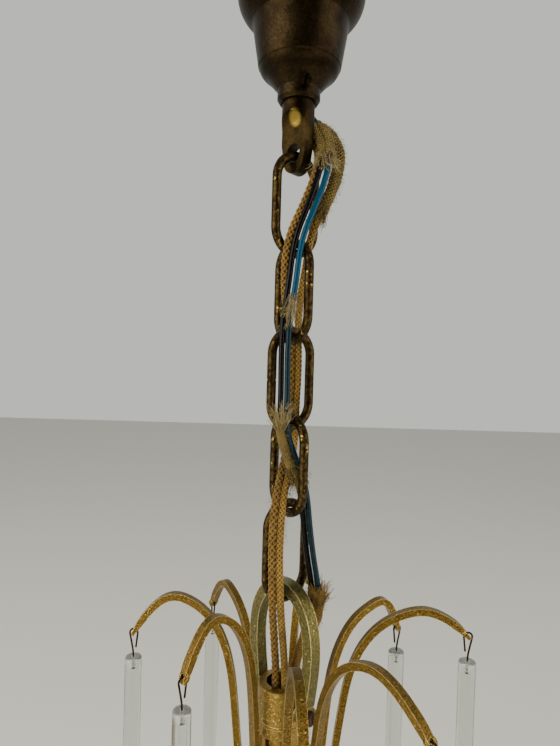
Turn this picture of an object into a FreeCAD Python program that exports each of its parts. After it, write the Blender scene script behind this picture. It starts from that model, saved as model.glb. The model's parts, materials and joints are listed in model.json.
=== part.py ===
import FreeCAD, Part
import math
import os
import Sketcher

V = FreeCAD.Vector
doc = FreeCAD.newDocument("SmallChandelier")

# A small mains chandelier of aged brass. The origin is the ceiling, at the middle of the
# fixing bar, with +Z up; everything hangs below it. +Y points away from the room's middle.

# ---------------------------------------------------------------- driving sizes
sheet = doc.addObject("Spreadsheet::Sheet", "sizes")
SIZES = [
    # ceiling bar and its boss
    ("bar_length", 46.0), ("bar_width", 15.0), ("bar_thick", 2.5),
    ("bar_holes_apart", 34.0), ("bar_hole", 4.5),
    ("boss_wall", 3.0), ("boss_depth", 11.0),
    # loop nipple, the rod with the wire way and the flattened tongue
    ("rod_radius", 6.5), ("wireway_radius", 4.9), ("rod_fit", 0.05),
    ("tongue_bottom", 91.4), ("tongue_thick", 5.2), ("tongue_tall", 16.4),
    ("run_out", 7.6), ("way_end", 68.8),
    ("foot_radius", 4.8), ("foot_taper", 10.5),
    ("tongue_turn", 50.0), ("slot_wide", 6.2), ("slot_top", 80.0), ("slot_seat", 87.3),
    ("slot_slack", 1.15),
    ("exit_turn", 32.0), ("exit_wide", 8.6), ("exit_top", 64.6), ("exit_low", 76.0),
    ("window_top", 32.5), ("window_low", 48.0),
    # canopy, a spun and cast bell
    ("canopy_gap", 0.6), ("canopy_wall", 1.1), ("rim_radius", 29.5), ("rim_depth", 3.0),
    ("flare_radius", 25.0), ("flare_depth", 20.5), ("flare_bulge", 12.0),
    ("step_radius", 19.1), ("step_depth", 33.0), ("step_tall", 0.7),
    ("crease_radius", 16.4), ("crease_depth", 49.8), ("crease_deep", 0.4),
    ("cup_radius", 13.2), ("cup_depth", 53.7), ("cup_bulge", 5.0), ("shoulder_out", 0.4),
    ("shoulder_depth", 58.4), ("neck_wall", 2.0), ("neck_depth", 62.3), ("lip_wall", 1.1),
    ("lip_depth", 63.7), ("neck_clear", 0.25), ("cove", 9.0), ("cove_tall", 5.0),
    ("cup_floor_depth", 56.0), ("cup_wall", 1.9),
    ("grub_radius", 2.3), ("grub_depth", 58.9), ("grub_length", 4.3), ("grub_fit", 0.05),
    ("grub_turn", -78.0), ("grub_clear", 0.15), ("grub_slot_wide", 0.6), ("grub_slot_deep", 1.0),
    # terminal block in the canopy
    ("block_length", 16.0), ("block_width", 8.4), ("block_tall", 13.0), ("block_out", 13.0),
    ("block_top", 13.5), ("port_radius", 1.5), ("port_apart", 3.6), ("terminal_screw", 1.3),
    # chain
    ("link_wire", 3.7), ("link_long", 42.0), ("link_wide", 22.8), ("link_gap", 0.12),
    ("odd_turn", 37.0), ("nick_deep", 0.28), ("nick_tall", 0.45),
    # bail ring over the collar
    ("bail_turn", -46.0), ("bail_deep", 5.2), ("bail_bar", 4.6), ("bail_belly", 2.8),
    ("bail_side_gap", 0.5), ("bail_seat_gap", 0.75), ("bail_foot", 3.9), ("bail_boss", 0.6),
    ("bail_tall", 47.08),
    ("pivot_radius", 1.5), ("pivot_clear", 0.1), ("pivot_head", 2.5), ("pivot_head_thick", 1.5),
    # stem
    ("collar_wall", 0.6), ("collar_bore", 6.5),
    ("collar_tall", 19.2), ("pivot_below_rim", 8.1), ("groove_below_rim", 13.6),
    ("groove_deep", 0.6),
    ("tube_radius", 9.2), ("tube_wall", 1.2), ("tube_lap", 5.0), ("tube_fit", 0.05),
    ("hub_below_rim", 85.4), ("hub_radius", 19.0), ("hub_thick", 7.0), ("hub_wall", 1.6),
    ("hub_collar_tall", 5.0), ("tail_gap", 0.2), ("tube_seat", 3.0),
    # arms
    ("arm_wide", 3.2), ("arm_thick", 2.8), ("arm_foot_out", 14.2), ("arm_foot_sink", 5.0),
    ("arm_fit", 0.06), ("lug_radius", 2.3), ("lug_thick", 1.25), ("lug_hole", 0.95),
    ("lug_land", 1.25),
    # wire hooks and glass rods
    ("hook_wire", 0.75), ("hook_bend", 1.62), ("hook_drop", 9.6), ("hook_set", 3.6),
    ("hook_leg", 5.8),
    ("glass_radius", 3.35), ("glass_length", 130.0), ("glass_round", 0.8),
    ("glass_hole", 0.8), ("glass_hole_deep", 4.6),
    # lampholder for a small Edison screw lamp
    ("tail_radius", 4.9), ("tail_bore", 3.9), ("cap_radius", 13.2), ("cap_tall", 13.0),
    ("holder_radius", 13.9), ("holder_wall", 1.5), ("holder_tall", 36.0),
    ("holder_lip", 1.0), ("socket_radius", 7.0), ("insert_tall", 11.0),
    ("shell_wall", 0.4), ("shell_tall", 20.0), ("shell_neck", 5.4), ("shell_neck_tall", 3.4),
    ("shell_flange", 9.1), ("contact_hole", 1.4), ("contact_hole_out", 1.6),
    ("spring_long", 3.6), ("spring_wide", 3.0), ("spring_thick", 0.35), ("spring_lean", 155.0),
    # wires
    ("braid_width", 2.6), ("plain_width", 2.3),
]
# sizes that follow from others: the chain hangs from the slot, the bail from the chain, the
# collar from the bail's pivots and the hub from the collar; each round piece is as wide as
# what it goes over, plus its own wall
FOLLOWING = [
    ("boss_radius", "=rod_radius + boss_wall"),
    ("neck_radius", "=rod_radius + neck_wall"),
    ("lip_radius", "=rod_radius + lip_wall"),
    ("shoulder_radius", "=neck_radius + shoulder_out"),
    ("collar_radius", "=tube_radius + collar_wall"),
    ("hub_neck", "=tube_radius + hub_wall"),
    ("hub_bore", "=tail_radius + tail_gap"),
    ("bail_end", "=collar_radius + bail_bar / 2 + bail_side_gap"),
    ("bail_half", "=bail_end + bail_belly"),
    ("link_pitch", "=link_long - 2 * link_wire - link_gap"),
    ("first_link", "=slot_seat - link_wire / 2 - slot_slack"),
    ("chain_foot", "=first_link + 4 * link_pitch + link_long - link_wire"),
    ("bail_top", "=chain_foot - link_wire / 2 - bail_bar / 2 - bail_seat_gap"),
    ("collar_rim_depth", "=bail_top + bail_tall - pivot_below_rim"),
    ("hub_depth", "=collar_rim_depth + hub_below_rim"),
]
for row, (alias, value) in enumerate([*SIZES, *FOLLOWING], start=1):
    sheet.set(f"A{row}", alias)
    sheet.set(f"B{row}", str(value))
    sheet.setAlias(f"B{row}", alias)
doc.recompute()


def size(alias):
    return float(getattr(sheet, alias))


def bind(feature, **sizes):
    """Bind each named property of a feature to an expression over the sheet."""
    for name, expression in sizes.items():
        feature.setExpression(name, expression)


SUB_PARTS = []


def sub_part(feature, label):
    feature.Label = label
    SUB_PARTS.append(feature)
    return feature


def bearing(degrees):
    """A level direction: 0 is +X, 90 is +Y."""
    return V(math.cos(math.radians(degrees)), math.sin(math.radians(degrees)), 0)


def turned_about_z(degrees, base=V(0, 0, 0)):
    return FreeCAD.Placement(base, FreeCAD.Rotation(V(0, 0, 1), degrees))


# ---------------------------------------------------------------- ways to build a piece
def sized(expression):
    """The number an expression over the sheet gives now, to start a sketch's solver near it."""
    return float(sheet.evalExpression(expression.replace("sizes.", "")))


def turned(name, outline):
    """A body turned about Z. Each corner is (radius, height) as expressions over the sheet,
    with a third entry where the edge to the next corner is an arc: the arc's radius, then
    +1 where it bulges to the left of the way it runs and -1 where it bulges to the right."""
    body = doc.addObject("PartDesign::Body", name)
    plane = next(f for f in body.Origin.OriginFeatures if f.Role == "XZ_Plane")
    sketch = body.newObject("Sketcher::SketchObject", name + "_outline")
    sketch.AttachmentSupport = [(plane, "")]
    sketch.MapMode = "FlatFace"
    corners = [V(sized(c[0]), sized(c[1]), 0) for c in outline]
    count = len(corners)
    ends = []
    for i, corner in enumerate(outline):
        a, b = corners[i], corners[(i + 1) % count]
        if len(corner) == 2:
            sketch.addGeometry(Part.LineSegment(a, b))
            ends.append((1, 2))
            continue
        radius, side = sized(corner[2]), corner[3]
        along = V(b - a).normalize()
        left = V(-along.y, along.x, 0) * side
        half = (b - a).Length / 2
        centre = (a + b) / 2 - left * math.sqrt(max(radius**2 - half**2, 0))
        # a sketch's arc always runs anticlockwise, so a bulge to the left is drawn backwards
        first, last = (b, a) if side > 0 else (a, b)
        angles = [math.atan2(p.y - centre.y, p.x - centre.x) for p in (first, last)]
        if angles[1] < angles[0]:
            angles[1] += 2 * math.pi
        circle = Part.Circle(centre, V(0, 0, 1), radius)
        sketch.addGeometry(Part.ArcOfCircle(circle, *angles))
        ends.append((2, 1) if side > 0 else (1, 2))
    for i in range(count):
        j = (i + 1) % count
        sketch.addConstraint(Sketcher.Constraint("Coincident", i, ends[i][1], j, ends[j][0]))
    for i, corner in enumerate(outline):
        for kind, at, expression in (
            ("DistanceX", corners[i].x, corner[0]),
            ("DistanceY", corners[i].y, corner[1]),
        ):
            made = sketch.addConstraint(Sketcher.Constraint(kind, -1, 1, i, ends[i][0], at))
            sketch.setExpression(f"Constraints[{made}]", expression)
        if len(corner) == 4:
            made = sketch.addConstraint(Sketcher.Constraint("Radius", i, sized(corner[2])))
            sketch.setExpression(f"Constraints[{made}]", corner[2])
    spin = body.newObject("PartDesign::Revolution", name + "_turned")
    spin.Profile = sketch
    spin.ReferenceAxis = (sketch, ["V_Axis"])
    spin.Angle = 360
    body.Tip = spin
    return body


def cylinder(name, radius, height, **place):
    made = doc.addObject("Part::Cylinder", name)
    bind(made, Radius=radius, Height=height, **place)
    return made


def block(name, length, width, height, **place):
    made = doc.addObject("Part::Box", name)
    bind(made, Length=length, Width=width, Height=height, **place)
    return made


def fused(name, *pieces):
    made = doc.addObject("Part::MultiFuse", name)
    made.Shapes = list(pieces)
    return made


def cut(name, base, *tools):
    made = doc.addObject("Part::Cut", name)
    made.Base = base
    made.Tool = tools[0] if len(tools) == 1 else fused(name + "_tools", *tools)
    return made


def rounded_path(points):
    """Straight runs joined by tangent arcs. Each arc's radius is 0.45 of the shorter run
    beside it, divided by the tangent of half the turn."""
    edges, radii, at = [], [], points[0]
    for before, here, after in zip(points, points[1:], points[2:]):
        into, out = (here - before), (after - here)
        cutback = 0.45 * min(into.Length, out.Length)
        turn = into.getAngle(out)
        radii.append(cutback / math.tan(turn / 2))
        start = here - into.normalize() * cutback
        end = here + out.normalize() * cutback
        chord = (start + end) / 2
        centre_way = (chord - here).normalize()
        to_arc = radii[-1] / math.cos(turn / 2) - radii[-1]
        middle = here + centre_way * to_arc
        edges.append(Part.LineSegment(at, start).toShape())
        edges.append(Part.Arc(start, middle, end).toShape())
        at = end
    edges.append(Part.LineSegment(at, points[-1]).toShape())
    return Part.Wire(edges), radii


def feature(label, shape, place=None):
    """A sub-part whose shape is made here from the sheet's sizes."""
    made = doc.addObject("Part::Feature", label)
    made.Shape = shape
    if place is not None:
        made.Placement = place
    return sub_part(made, label)


def set_pose(made, base, rotation):
    made.Placement = FreeCAD.Placement(base, rotation)
    return made


# ---------------------------------------------------------------- ceiling bar
def make_ceiling_bar():
    plate = block(
        "bar_plate", "sizes.bar_length", "sizes.bar_width", "sizes.bar_thick",
    )
    bind(plate, **{
        ".Placement.Base.x": "-sizes.bar_length / 2",
        ".Placement.Base.y": "-sizes.bar_width / 2",
        ".Placement.Base.z": "-sizes.bar_thick",
    })
    boss = cylinder("bar_boss", "sizes.boss_radius", "sizes.boss_depth")
    bind(boss, **{".Placement.Base.z": "-sizes.boss_depth"})
    bore = cylinder("bar_bore", "sizes.rod_radius + sizes.rod_fit", "sizes.boss_depth + 2")
    bind(bore, **{".Placement.Base.z": "-sizes.boss_depth - 1"})
    holes = []
    for side in (-1, 1):
        hole = cylinder(f"bar_hole_{side + 2}", "sizes.bar_hole / 2", "sizes.bar_thick + 2")
        bind(hole, **{
            ".Placement.Base.x": f"{side} * sizes.bar_holes_apart / 2",
            ".Placement.Base.z": "-sizes.bar_thick - 1",
        })
        holes.append(hole)
    sub_part(cut("ceiling_bar", fused("bar_solid", plate, boss), bore, *holes), "ceiling_bar")


# ---------------------------------------------------------------- loop nipple
def make_loop_nipple():
    rod = cylinder("nipple_rod", "sizes.rod_radius", "sizes.tongue_bottom")
    bind(rod, **{".Placement.Base.z": "-sizes.tongue_bottom"})
    way = cylinder("nipple_way", "sizes.wireway_radius", "sizes.way_end + 1")
    bind(way, **{".Placement.Base.z": "-sizes.way_end"})
    turn = size("tongue_turn")
    cosine, sine = "cos(sizes.tongue_turn)", "sin(sizes.tongue_turn)"
    beyond = "(sizes.rod_radius + 1)"
    flats = []
    for side in (-1, 1):
        flat = block(f"nipple_flat_{side + 2}", beyond, f"2 * {beyond}", "sizes.tongue_tall + 1")
        away = "(sizes.tongue_thick / 2)" if side > 0 else f"(-sizes.tongue_thick / 2 - {beyond})"
        bind(flat, **{
            ".Placement.Base.x": f"{away} * {cosine} + {beyond} * {sine}",
            ".Placement.Base.y": f"{away} * {sine} - {beyond} * {cosine}",
            ".Placement.Base.z": "-sizes.tongue_bottom - 1",
        })
        flat.Placement.Rotation = FreeCAD.Rotation(V(0, 0, 1), turn)
        flats.append(flat)
        # each flat runs out upwards in a curve, into the round of the rod
        curve = cylinder(f"nipple_run_out_{side + 2}", "sizes.run_out", f"2 * {beyond}")
        across = bearing(turn + 90)
        out = bearing(turn) * side * (size("tongue_thick") / 2 + size("run_out"))
        start = out - across * (size("rod_radius") + 1)
        set_pose(curve, start, FreeCAD.Rotation(V(0, 0, 1), across))
        bind(curve, **{".Placement.Base.z": "-sizes.tongue_bottom + sizes.tongue_tall"})
        flats.append(curve)
    # the slot is an upright hole with round ends, through the tongue
    ends = []
    for name, depth in (
        ("top", "sizes.slot_top + sizes.slot_wide / 2"),
        ("seat", "sizes.slot_seat - sizes.slot_wide / 2"),
    ):
        end = cylinder(f"slot_{name}", "sizes.slot_wide / 2", f"2 * {beyond}")
        along = FreeCAD.Rotation(V(0, 0, 1), bearing(turn))
        set_pose(end, bearing(turn) * -(size("rod_radius") + 1), along)
        bind(end, **{".Placement.Base.z": f"-({depth})"})
        ends.append(end)
    middle = block(
        "slot_middle", f"2 * {beyond}", "sizes.slot_wide",
        "max(sizes.slot_seat - sizes.slot_top - sizes.slot_wide; 0.01)",
    )
    middle.Placement = turned_about_z(turn)
    bind(middle, **{
        ".Placement.Base.x": f"-{beyond} * {cosine} + sizes.slot_wide / 2 * {sine}",
        ".Placement.Base.y": f"-{beyond} * {sine} - sizes.slot_wide / 2 * {cosine}",
        ".Placement.Base.z": "-sizes.slot_seat + sizes.slot_wide / 2",
    })
    # the wires leave by a side window below the neck and another inside the canopy
    windows = []
    for name, top, low in (("exit", "exit_top", "exit_low"), ("inner", "window_top", "window_low")):
        window = block(
            f"window_{name}", "sizes.rod_radius + 2", "sizes.exit_wide", f"sizes.{low} - sizes.{top}",
        )
        window.Placement = turned_about_z(size("exit_turn"))
        bind(window, **{
            ".Placement.Base.x": "sizes.exit_wide / 2 * sin(sizes.exit_turn)",
            ".Placement.Base.y": "-sizes.exit_wide / 2 * cos(sizes.exit_turn)",
            ".Placement.Base.z": f"-sizes.{low}",
        })
        windows.append(window)
    # the tongue tapers to a round foot; its sides run tangent into the foot's curve
    radius, reach, rise = size("foot_radius"), size("rod_radius") + 0.1, size("foot_taper")
    lean = math.atan2(rise, reach) - math.acos(radius / math.hypot(reach, rise))
    side_on = V(radius * math.cos(lean), 0, radius * math.sin(lean))
    sides = [side_on, V(reach, 0, rise), V(reach, 0, size("tongue_bottom"))]
    sides += [V(-p.x, 0, p.z) for p in reversed(sides)]
    edges = [Part.LineSegment(p, q).toShape() for p, q in zip(sides, sides[1:])]
    edges.append(Part.Arc(sides[-1], V(0, 0, -radius), sides[0]).toShape())
    outline = doc.addObject("Part::Feature", "tongue_outline")
    face = Part.Face(Part.Wire(edges))
    face.translate(V(0, -size("rod_radius") - 1, 0))
    outline.Shape = face.extrude(V(0, 2 * size("rod_radius") + 2, 0))
    outline.Placement = turned_about_z(turn + 90)
    bind(outline, **{".Placement.Base.z": "-sizes.tongue_bottom + sizes.foot_radius"})
    shaped = doc.addObject("Part::Common", "nipple_outline")
    shaped.Base = rod
    shaped.Tool = outline
    tongue = cut("nipple_tongue", shaped, *flats)
    slotted = cut("nipple_slotted", tongue, *ends, middle)
    nipple = cut("loop_nipple", slotted, way, *windows)
    sub_part(nipple, "loop_nipple")


# ---------------------------------------------------------------- canopy
def make_canopy():
    z = "-sizes."
    outer = [
        ("sizes.neck_radius", z + "neck_depth"),
        ("sizes.neck_radius", z + "shoulder_depth - 0.4"),
        ("sizes.shoulder_radius", z + "shoulder_depth"),
        ("sizes.cup_radius", z + "cup_depth", "sizes.cup_bulge", -1),
        ("sizes.crease_radius - sizes.crease_deep", z + "crease_depth - sizes.crease_deep"),
        ("sizes.crease_radius", z + "crease_depth"),
        ("sizes.step_radius", z + "step_depth"),
        ("sizes.step_radius + sizes.step_tall", z + "step_depth + sizes.step_tall",
         "sizes.flare_bulge", -1),
        ("sizes.flare_radius", z + "flare_depth"),
        ("sizes.flare_radius + 0.6", z + "rim_depth - sizes.cove_tall", "sizes.cove", 1),
        ("sizes.rim_radius", z + "rim_depth"),
        ("sizes.rim_radius", z + "canopy_gap"),
    ]
    wall = "sizes.canopy_wall"
    bore = "sizes.rod_radius + sizes.neck_clear"
    inner = [
        (f"sizes.rim_radius - {wall}", z + "canopy_gap"),
        (f"sizes.flare_radius + 0.6 - {wall}", z + "rim_depth - sizes.cove_tall"),
        (f"sizes.flare_radius - {wall}", z + "flare_depth", "sizes.flare_bulge", 1),
        (f"sizes.step_radius - {wall}", z + "step_depth + sizes.step_tall"),
        (f"sizes.crease_radius - {wall}", z + "crease_depth"),
        ("sizes.cup_radius - sizes.cup_wall", z + "cup_depth"),
        (bore + " + 1", z + "cup_floor_depth"),
        (bore, z + "cup_floor_depth"),
        (bore, z + "lip_depth"),
        ("sizes.lip_radius", z + "lip_depth"),
    ]
    shell = turned("canopy_shell", [*inner, *outer])
    out = bearing(size("grub_turn"))
    turn = FreeCAD.Rotation(V(0, 0, 1), out)
    hole = cylinder("canopy_grub_hole", "sizes.grub_radius + sizes.grub_fit",
                    "2 * sizes.grub_length")
    set_pose(hole, out * size("rod_radius"), turn)
    bind(hole, **{".Placement.Base.z": "-sizes.grub_depth"})
    sub_part(cut("canopy", shell, hole), "canopy")
    # the grub screw presses on the nipple and stands a little proud of the neck's slope
    screw = cylinder("grub_body", "sizes.grub_radius", "sizes.grub_length")
    slot = block("grub_slot", "sizes.grub_slot_wide", "3 * sizes.grub_radius",
                 "2 * sizes.grub_slot_deep")
    reach = size("rod_radius") + size("grub_clear")
    set_pose(screw, out * reach, turn)
    bind(screw, **{".Placement.Base.z": "-sizes.grub_depth"})
    head = out * (reach + size("grub_length") - size("grub_slot_deep"))
    corner = turn.multVec(V(-size("grub_slot_wide") / 2, -1.5 * size("grub_radius"), 0))
    set_pose(slot, head + corner - V(0, 0, size("grub_depth")), turn)
    sub_part(cut("canopy_grub_screw", screw, slot), "canopy_grub_screw")


# ---------------------------------------------------------------- terminal block
def make_terminal_block():
    out, side = bearing(size("exit_turn")), bearing(size("exit_turn") + 90)
    long, wide, tall = size("block_length"), size("block_width"), size("block_tall")
    base = out * (size("block_out") - wide / 2) - side * long / 2
    base.z = -size("block_top") - tall
    body = Part.makeBox(wide, long, tall)
    body.Placement = turned_about_z(size("exit_turn"), base)
    body = body.makeChamfer(0.5, [e for e in body.Edges if abs(e.tangentAt(0).z) > 0.9])
    screws = []
    for n in range(4):
        middle = out * size("block_out") + side * (n - 1.5) * size("port_apart")
        low = V(middle.x, middle.y, -size("block_top") - tall - 1)
        body = body.cut(Part.makeCylinder(size("port_radius"), 7, low, V(0, 0, 1)))
        high = middle + out * (wide / 2 - 2.6)
        high.z = -size("block_top") - tall / 2 + 2
        body = body.cut(Part.makeCylinder(size("terminal_screw") + 0.05, 4, high, out))
        screw = Part.makeCylinder(size("terminal_screw"), 1.9, high, out)
        screws.append(screw)
    feature("terminal_block", body)
    feature("terminal_screws", Part.makeCompound(screws))


# ---------------------------------------------------------------- chain
def link_tops():
    """How deep the middle of each link's top wire lies."""
    return [size("first_link") + n * size("link_pitch") for n in range(5)]


def link_turn(number):
    return size("odd_turn") if number % 2 else size("odd_turn") - 90


def make_chain():
    tops = link_tops()
    joint_side = {1: 0, 2: 0, 3: -1, 4: 1, 5: -1}
    joint_down = {3: 0.47, 4: 0.5, 5: 0.53}
    for number, top in enumerate(tops, start=1):
        name = f"chain_link_{number}"
        pieces = []
        for end, up in (("top", 1), ("foot", -1)):
            bend = doc.addObject("Part::Torus", f"{name}_{end}")
            bind(bend, Radius1="(sizes.link_wide - sizes.link_wire) / 2",
                 Radius2="sizes.link_wire / 2")
            bend.Angle3 = 180
            bend.Placement.Rotation = FreeCAD.Rotation(V(1, 0, 0), 90 * up)
            depth = "(sizes.link_wide - sizes.link_wire) / 2"
            if up < 0:
                depth = "sizes.link_long - sizes.link_wire - (sizes.link_wide - sizes.link_wire) / 2"
            bind(bend, **{".Placement.Base.z": f"-({depth})"})
            pieces.append(bend)
        for side in (-1, 1):
            leg = cylinder(
                f"{name}_leg_{side + 2}", "sizes.link_wire / 2",
                "sizes.link_long - sizes.link_wide",
            )
            bind(leg, **{
                ".Placement.Base.x": f"{side} * (sizes.link_wide - sizes.link_wire) / 2",
                ".Placement.Base.z": "-(sizes.link_long - sizes.link_wire"
                " - (sizes.link_wide - sizes.link_wire) / 2)",
            })
            pieces.append(leg)
        link = fused(f"{name}_oval", *pieces)
        if joint_side[number]:
            # the butt joint of the bent wire shows as a shallow groove round one leg
            ring = cylinder(f"{name}_ring", "sizes.link_wire", "sizes.nick_tall")
            core = cylinder(f"{name}_core", "sizes.link_wire / 2 - sizes.nick_deep",
                            "sizes.nick_tall")
            share = joint_down[number]
            for tool in (ring, core):
                bind(tool, **{
                    ".Placement.Base.x":
                        f"{joint_side[number]} * (sizes.link_wide - sizes.link_wire) / 2",
                    ".Placement.Base.z": f"-sizes.link_long * {share}",
                })
            link = cut(name, link, cut(f"{name}_groove", ring, core))
        link.Placement = turned_about_z(link_turn(number), V(0, 0, -top))
        sub_part(link, name)


# ---------------------------------------------------------------- bail ring
def band(points, half, count=28):
    """A flat face about a smooth line through points in the XZ plane, its half width given
    by half(share of the way along)."""
    line = Part.BSplineCurve()
    line.interpolate(points)
    first, last = line.FirstParameter, line.LastParameter
    sides = ([], [])
    for n in range(count + 1):
        share = n / count
        at = first + (last - first) * share
        here, along = line.value(at), line.tangent(at)[0]
        across = V(along.z, 0, -along.x)
        sides[0].append(here + across * half(share))
        sides[1].append(here - across * half(share))
    edges = []
    for side in sides:
        curve = Part.BSplineCurve()
        curve.interpolate(side)
        edges.append(curve.toShape())
    edges.insert(1, Part.LineSegment(sides[0][-1], sides[1][-1]).toShape())
    edges.append(Part.LineSegment(sides[1][0], sides[0][0]).toShape())
    return Part.Face(Part.Wire(Part.__sortEdges__(edges)))


def make_bail():
    top, half, end = size("bail_top"), size("bail_half"), size("bail_end")
    tall = size("bail_tall")
    pivot = top + tall
    path = [
        V(-end, 0, -pivot), V(-end - 1.4, 0, -top - 0.80 * tall), V(-half, 0, -top - 0.50 * tall),
        V(-half * 0.86, 0, -top - 0.22 * tall), V(-half * 0.46, 0, -top - 0.045 * tall),
        V(0, 0, -top),
        V(half * 0.46, 0, -top - 0.045 * tall), V(half * 0.86, 0, -top - 0.22 * tall),
        V(half, 0, -top - 0.50 * tall), V(end + 1.4, 0, -top - 0.80 * tall), V(end, 0, -pivot),
    ]
    deep, bar = size("bail_deep"), size("bail_bar")
    ring = band(path, lambda share: bar / 2, 40).extrude(V(0, deep, 0))
    ring.translate(V(0, -deep / 2, 0))
    boss = size("bail_boss")
    for side in (-1, 1):
        # each end is a round eye that turns on its pivot screw
        foot = Part.makeCylinder(
            size("bail_foot"), bar + boss, V(side * (end - bar / 2), 0, -pivot), V(side, 0, 0)
        )
        ring = ring.fuse(foot)
    reach = end + bar + boss
    hole = Part.makeCylinder(
        size("pivot_radius") + size("pivot_clear"), 2 * reach, V(-reach, 0, -pivot), V(1, 0, 0)
    )
    ring = ring.cut(hole).removeSplitter()
    feature("bail_ring", ring, turned_about_z(size("bail_turn")))
    screws = []
    out = end + bar / 2 + boss + 0.15
    start = size("collar_bore") + 0.3
    for side in (-1, 1):
        way = V(side, 0, 0)
        low = V(side * start, 0, -pivot)
        shank = Part.makeCylinder(size("pivot_radius"), out - start, low, way)
        head = Part.makeCylinder(
            size("pivot_head"), size("pivot_head_thick"), V(side * out, 0, -pivot), way
        )
        screw = shank.fuse(head).removeSplitter()
        slot = Part.makeBox(0.8, 0.7, 8)
        slot.translate(V(side * (out + size("pivot_head_thick")) - 0.4, -0.35, -pivot - 4))
        screws.append(screw.cut(slot))
    feature("bail_pivot_screws", Part.makeCompound(screws), turned_about_z(size("bail_turn")))


# ---------------------------------------------------------------- stem
def make_stem():
    z = "-sizes.collar_rim_depth"
    low = z + " - sizes.collar_tall"
    groove = z + " - sizes.groove_below_rim"
    collar = turned("collar_turned", [
        ("sizes.collar_bore", z),
        ("sizes.collar_radius - 0.9", z, "0.9", 1),
        ("sizes.collar_radius", z + " - 0.9"),
        ("sizes.collar_radius", groove),
        ("sizes.collar_radius - sizes.groove_deep", groove + " - 0.5"),
        ("sizes.collar_radius", groove + " - 1.0"),
        ("sizes.collar_radius + 0.1", low + " + 0.6"),
        ("sizes.collar_radius - 0.3", low),
        ("sizes.tube_radius + sizes.tube_fit", low),
        ("sizes.tube_radius + sizes.tube_fit", low + " + sizes.tube_lap"),
        ("sizes.collar_bore", low + " + sizes.tube_lap"),
    ])
    holes = []
    for side in (-1, 1):
        hole = cylinder(f"collar_pivot_{side + 2}", "sizes.pivot_radius + 0.02", "8")
        out = bearing(size("bail_turn")) * side
        set_pose(hole, out * (size("collar_bore") - 2), FreeCAD.Rotation(V(0, 0, 1), out))
        bind(hole, **{
            ".Placement.Base.z": "-sizes.collar_rim_depth - sizes.pivot_below_rim",
        })
        holes.append(hole)
    sub_part(cut("stem_collar", collar, *holes), "stem_collar")
    top = "-sizes.collar_rim_depth - sizes.collar_tall + sizes.tube_lap - 0.1"
    foot = "-sizes.hub_depth - sizes.tube_seat + 0.05"
    tube = turned("stem_tube", [
        ("sizes.tube_radius - sizes.tube_wall", top), ("sizes.tube_radius", top),
        ("sizes.tube_radius", foot), ("sizes.tube_radius - sizes.tube_wall", foot),
    ])
    sub_part(tube, "stem_tube")
    deck = "-sizes.hub_depth"
    under = "-sizes.hub_depth - sizes.hub_thick"
    hub = turned("hub_turned", [
        ("sizes.hub_bore", under + " - 4"),
        ("sizes.hub_bore", deck + " - sizes.tube_seat"),
        ("sizes.tube_radius + sizes.tube_fit", deck + " - sizes.tube_seat"),
        ("sizes.tube_radius + sizes.tube_fit", deck + " + sizes.hub_collar_tall"),
        ("sizes.hub_neck", deck + " + sizes.hub_collar_tall"),
        ("sizes.hub_neck", deck),
        ("sizes.hub_radius - 1", deck, "1", 1),
        ("sizes.hub_radius", deck + " - 1"),
        ("sizes.hub_radius", under + " + 1.6", "2.2", 1),
        ("sizes.hub_radius - 1.8", under, "9", -1),
        ("sizes.cap_radius - 2", under + " - 4"),
    ])
    holes = []
    for n, (azimuth, *_rest) in enumerate(ARMS):
        hole = block(
            f"hub_foot_{n}", "sizes.arm_thick + 2 * sizes.arm_fit",
            "sizes.arm_wide + 2 * sizes.arm_fit", "sizes.arm_foot_sink + 1",
        )
        turn = azimuth - 90
        middle = bearing(turn) * size("arm_foot_out")
        corner = FreeCAD.Rotation(V(0, 0, 1), turn).multVec(
            V(-size("arm_thick") / 2 - size("arm_fit"), -size("arm_wide") / 2 - size("arm_fit"), 0)
        )
        set_pose(hole, middle + corner, FreeCAD.Rotation(V(0, 0, 1), turn))
        bind(hole, **{".Placement.Base.z": "-sizes.hub_depth - sizes.arm_foot_sink - 0.05"})
        holes.append(hole)
    sub_part(cut("arm_hub", hub, *holes), "arm_hub")


# ---------------------------------------------------------------- arms, hooks and rods
# Each arm is bent by hand, so no two are alike. Azimuth counts from the front towards +X;
# reach and rise are the crown of its bend from the hub, and the last two the tip from the crown.
ARMS = [
    (4, 56.0, 117.0, 17.0, 11.5),
    (36, 51.5, 113.4, 24.0, 12.5),
    (86, 56.0, 117.0, 17.4, 9.6),
    (110, 45.6, 112.3, 7.6, 13.7),
    (167, 46.0, 116.0, 13.5, 14.0),
    (215, 48.1, 108.7, 11.6, 15.2),
    (268, 44.8, 118.0, 16.6, 16.4),
    (313, 35.0, 120.7, 13.3, 18.5),
]
# The way up to the crown, as (drop below the crown, share of the reach)
CLIMB = [(95, 0.31), (62, 0.385), (40, 0.435), (25, 0.49), (14, 0.58), (6.5, 0.70), (1.7, 0.85)]


def arm_line(reach, rise, out, drop):
    """An arm's middle line in its own plane, from foot to tip, as (distance out, height)."""
    foot = size("arm_foot_out")
    low = -size("hub_depth") - size("arm_foot_sink")
    crown = -size("hub_depth") + rise
    line = [V(foot, 0, low + up) for up in (0, 2, 4, 6, 9)]
    line += [V(max(reach * share, foot - 0.6), 0, crown - fall) for fall, share in CLIMB]
    line += [V(reach, 0, crown), V(reach + 0.55 * out, 0, crown - 0.34 * drop)]
    return line + [V(reach + out, 0, crown - drop)]


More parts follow.
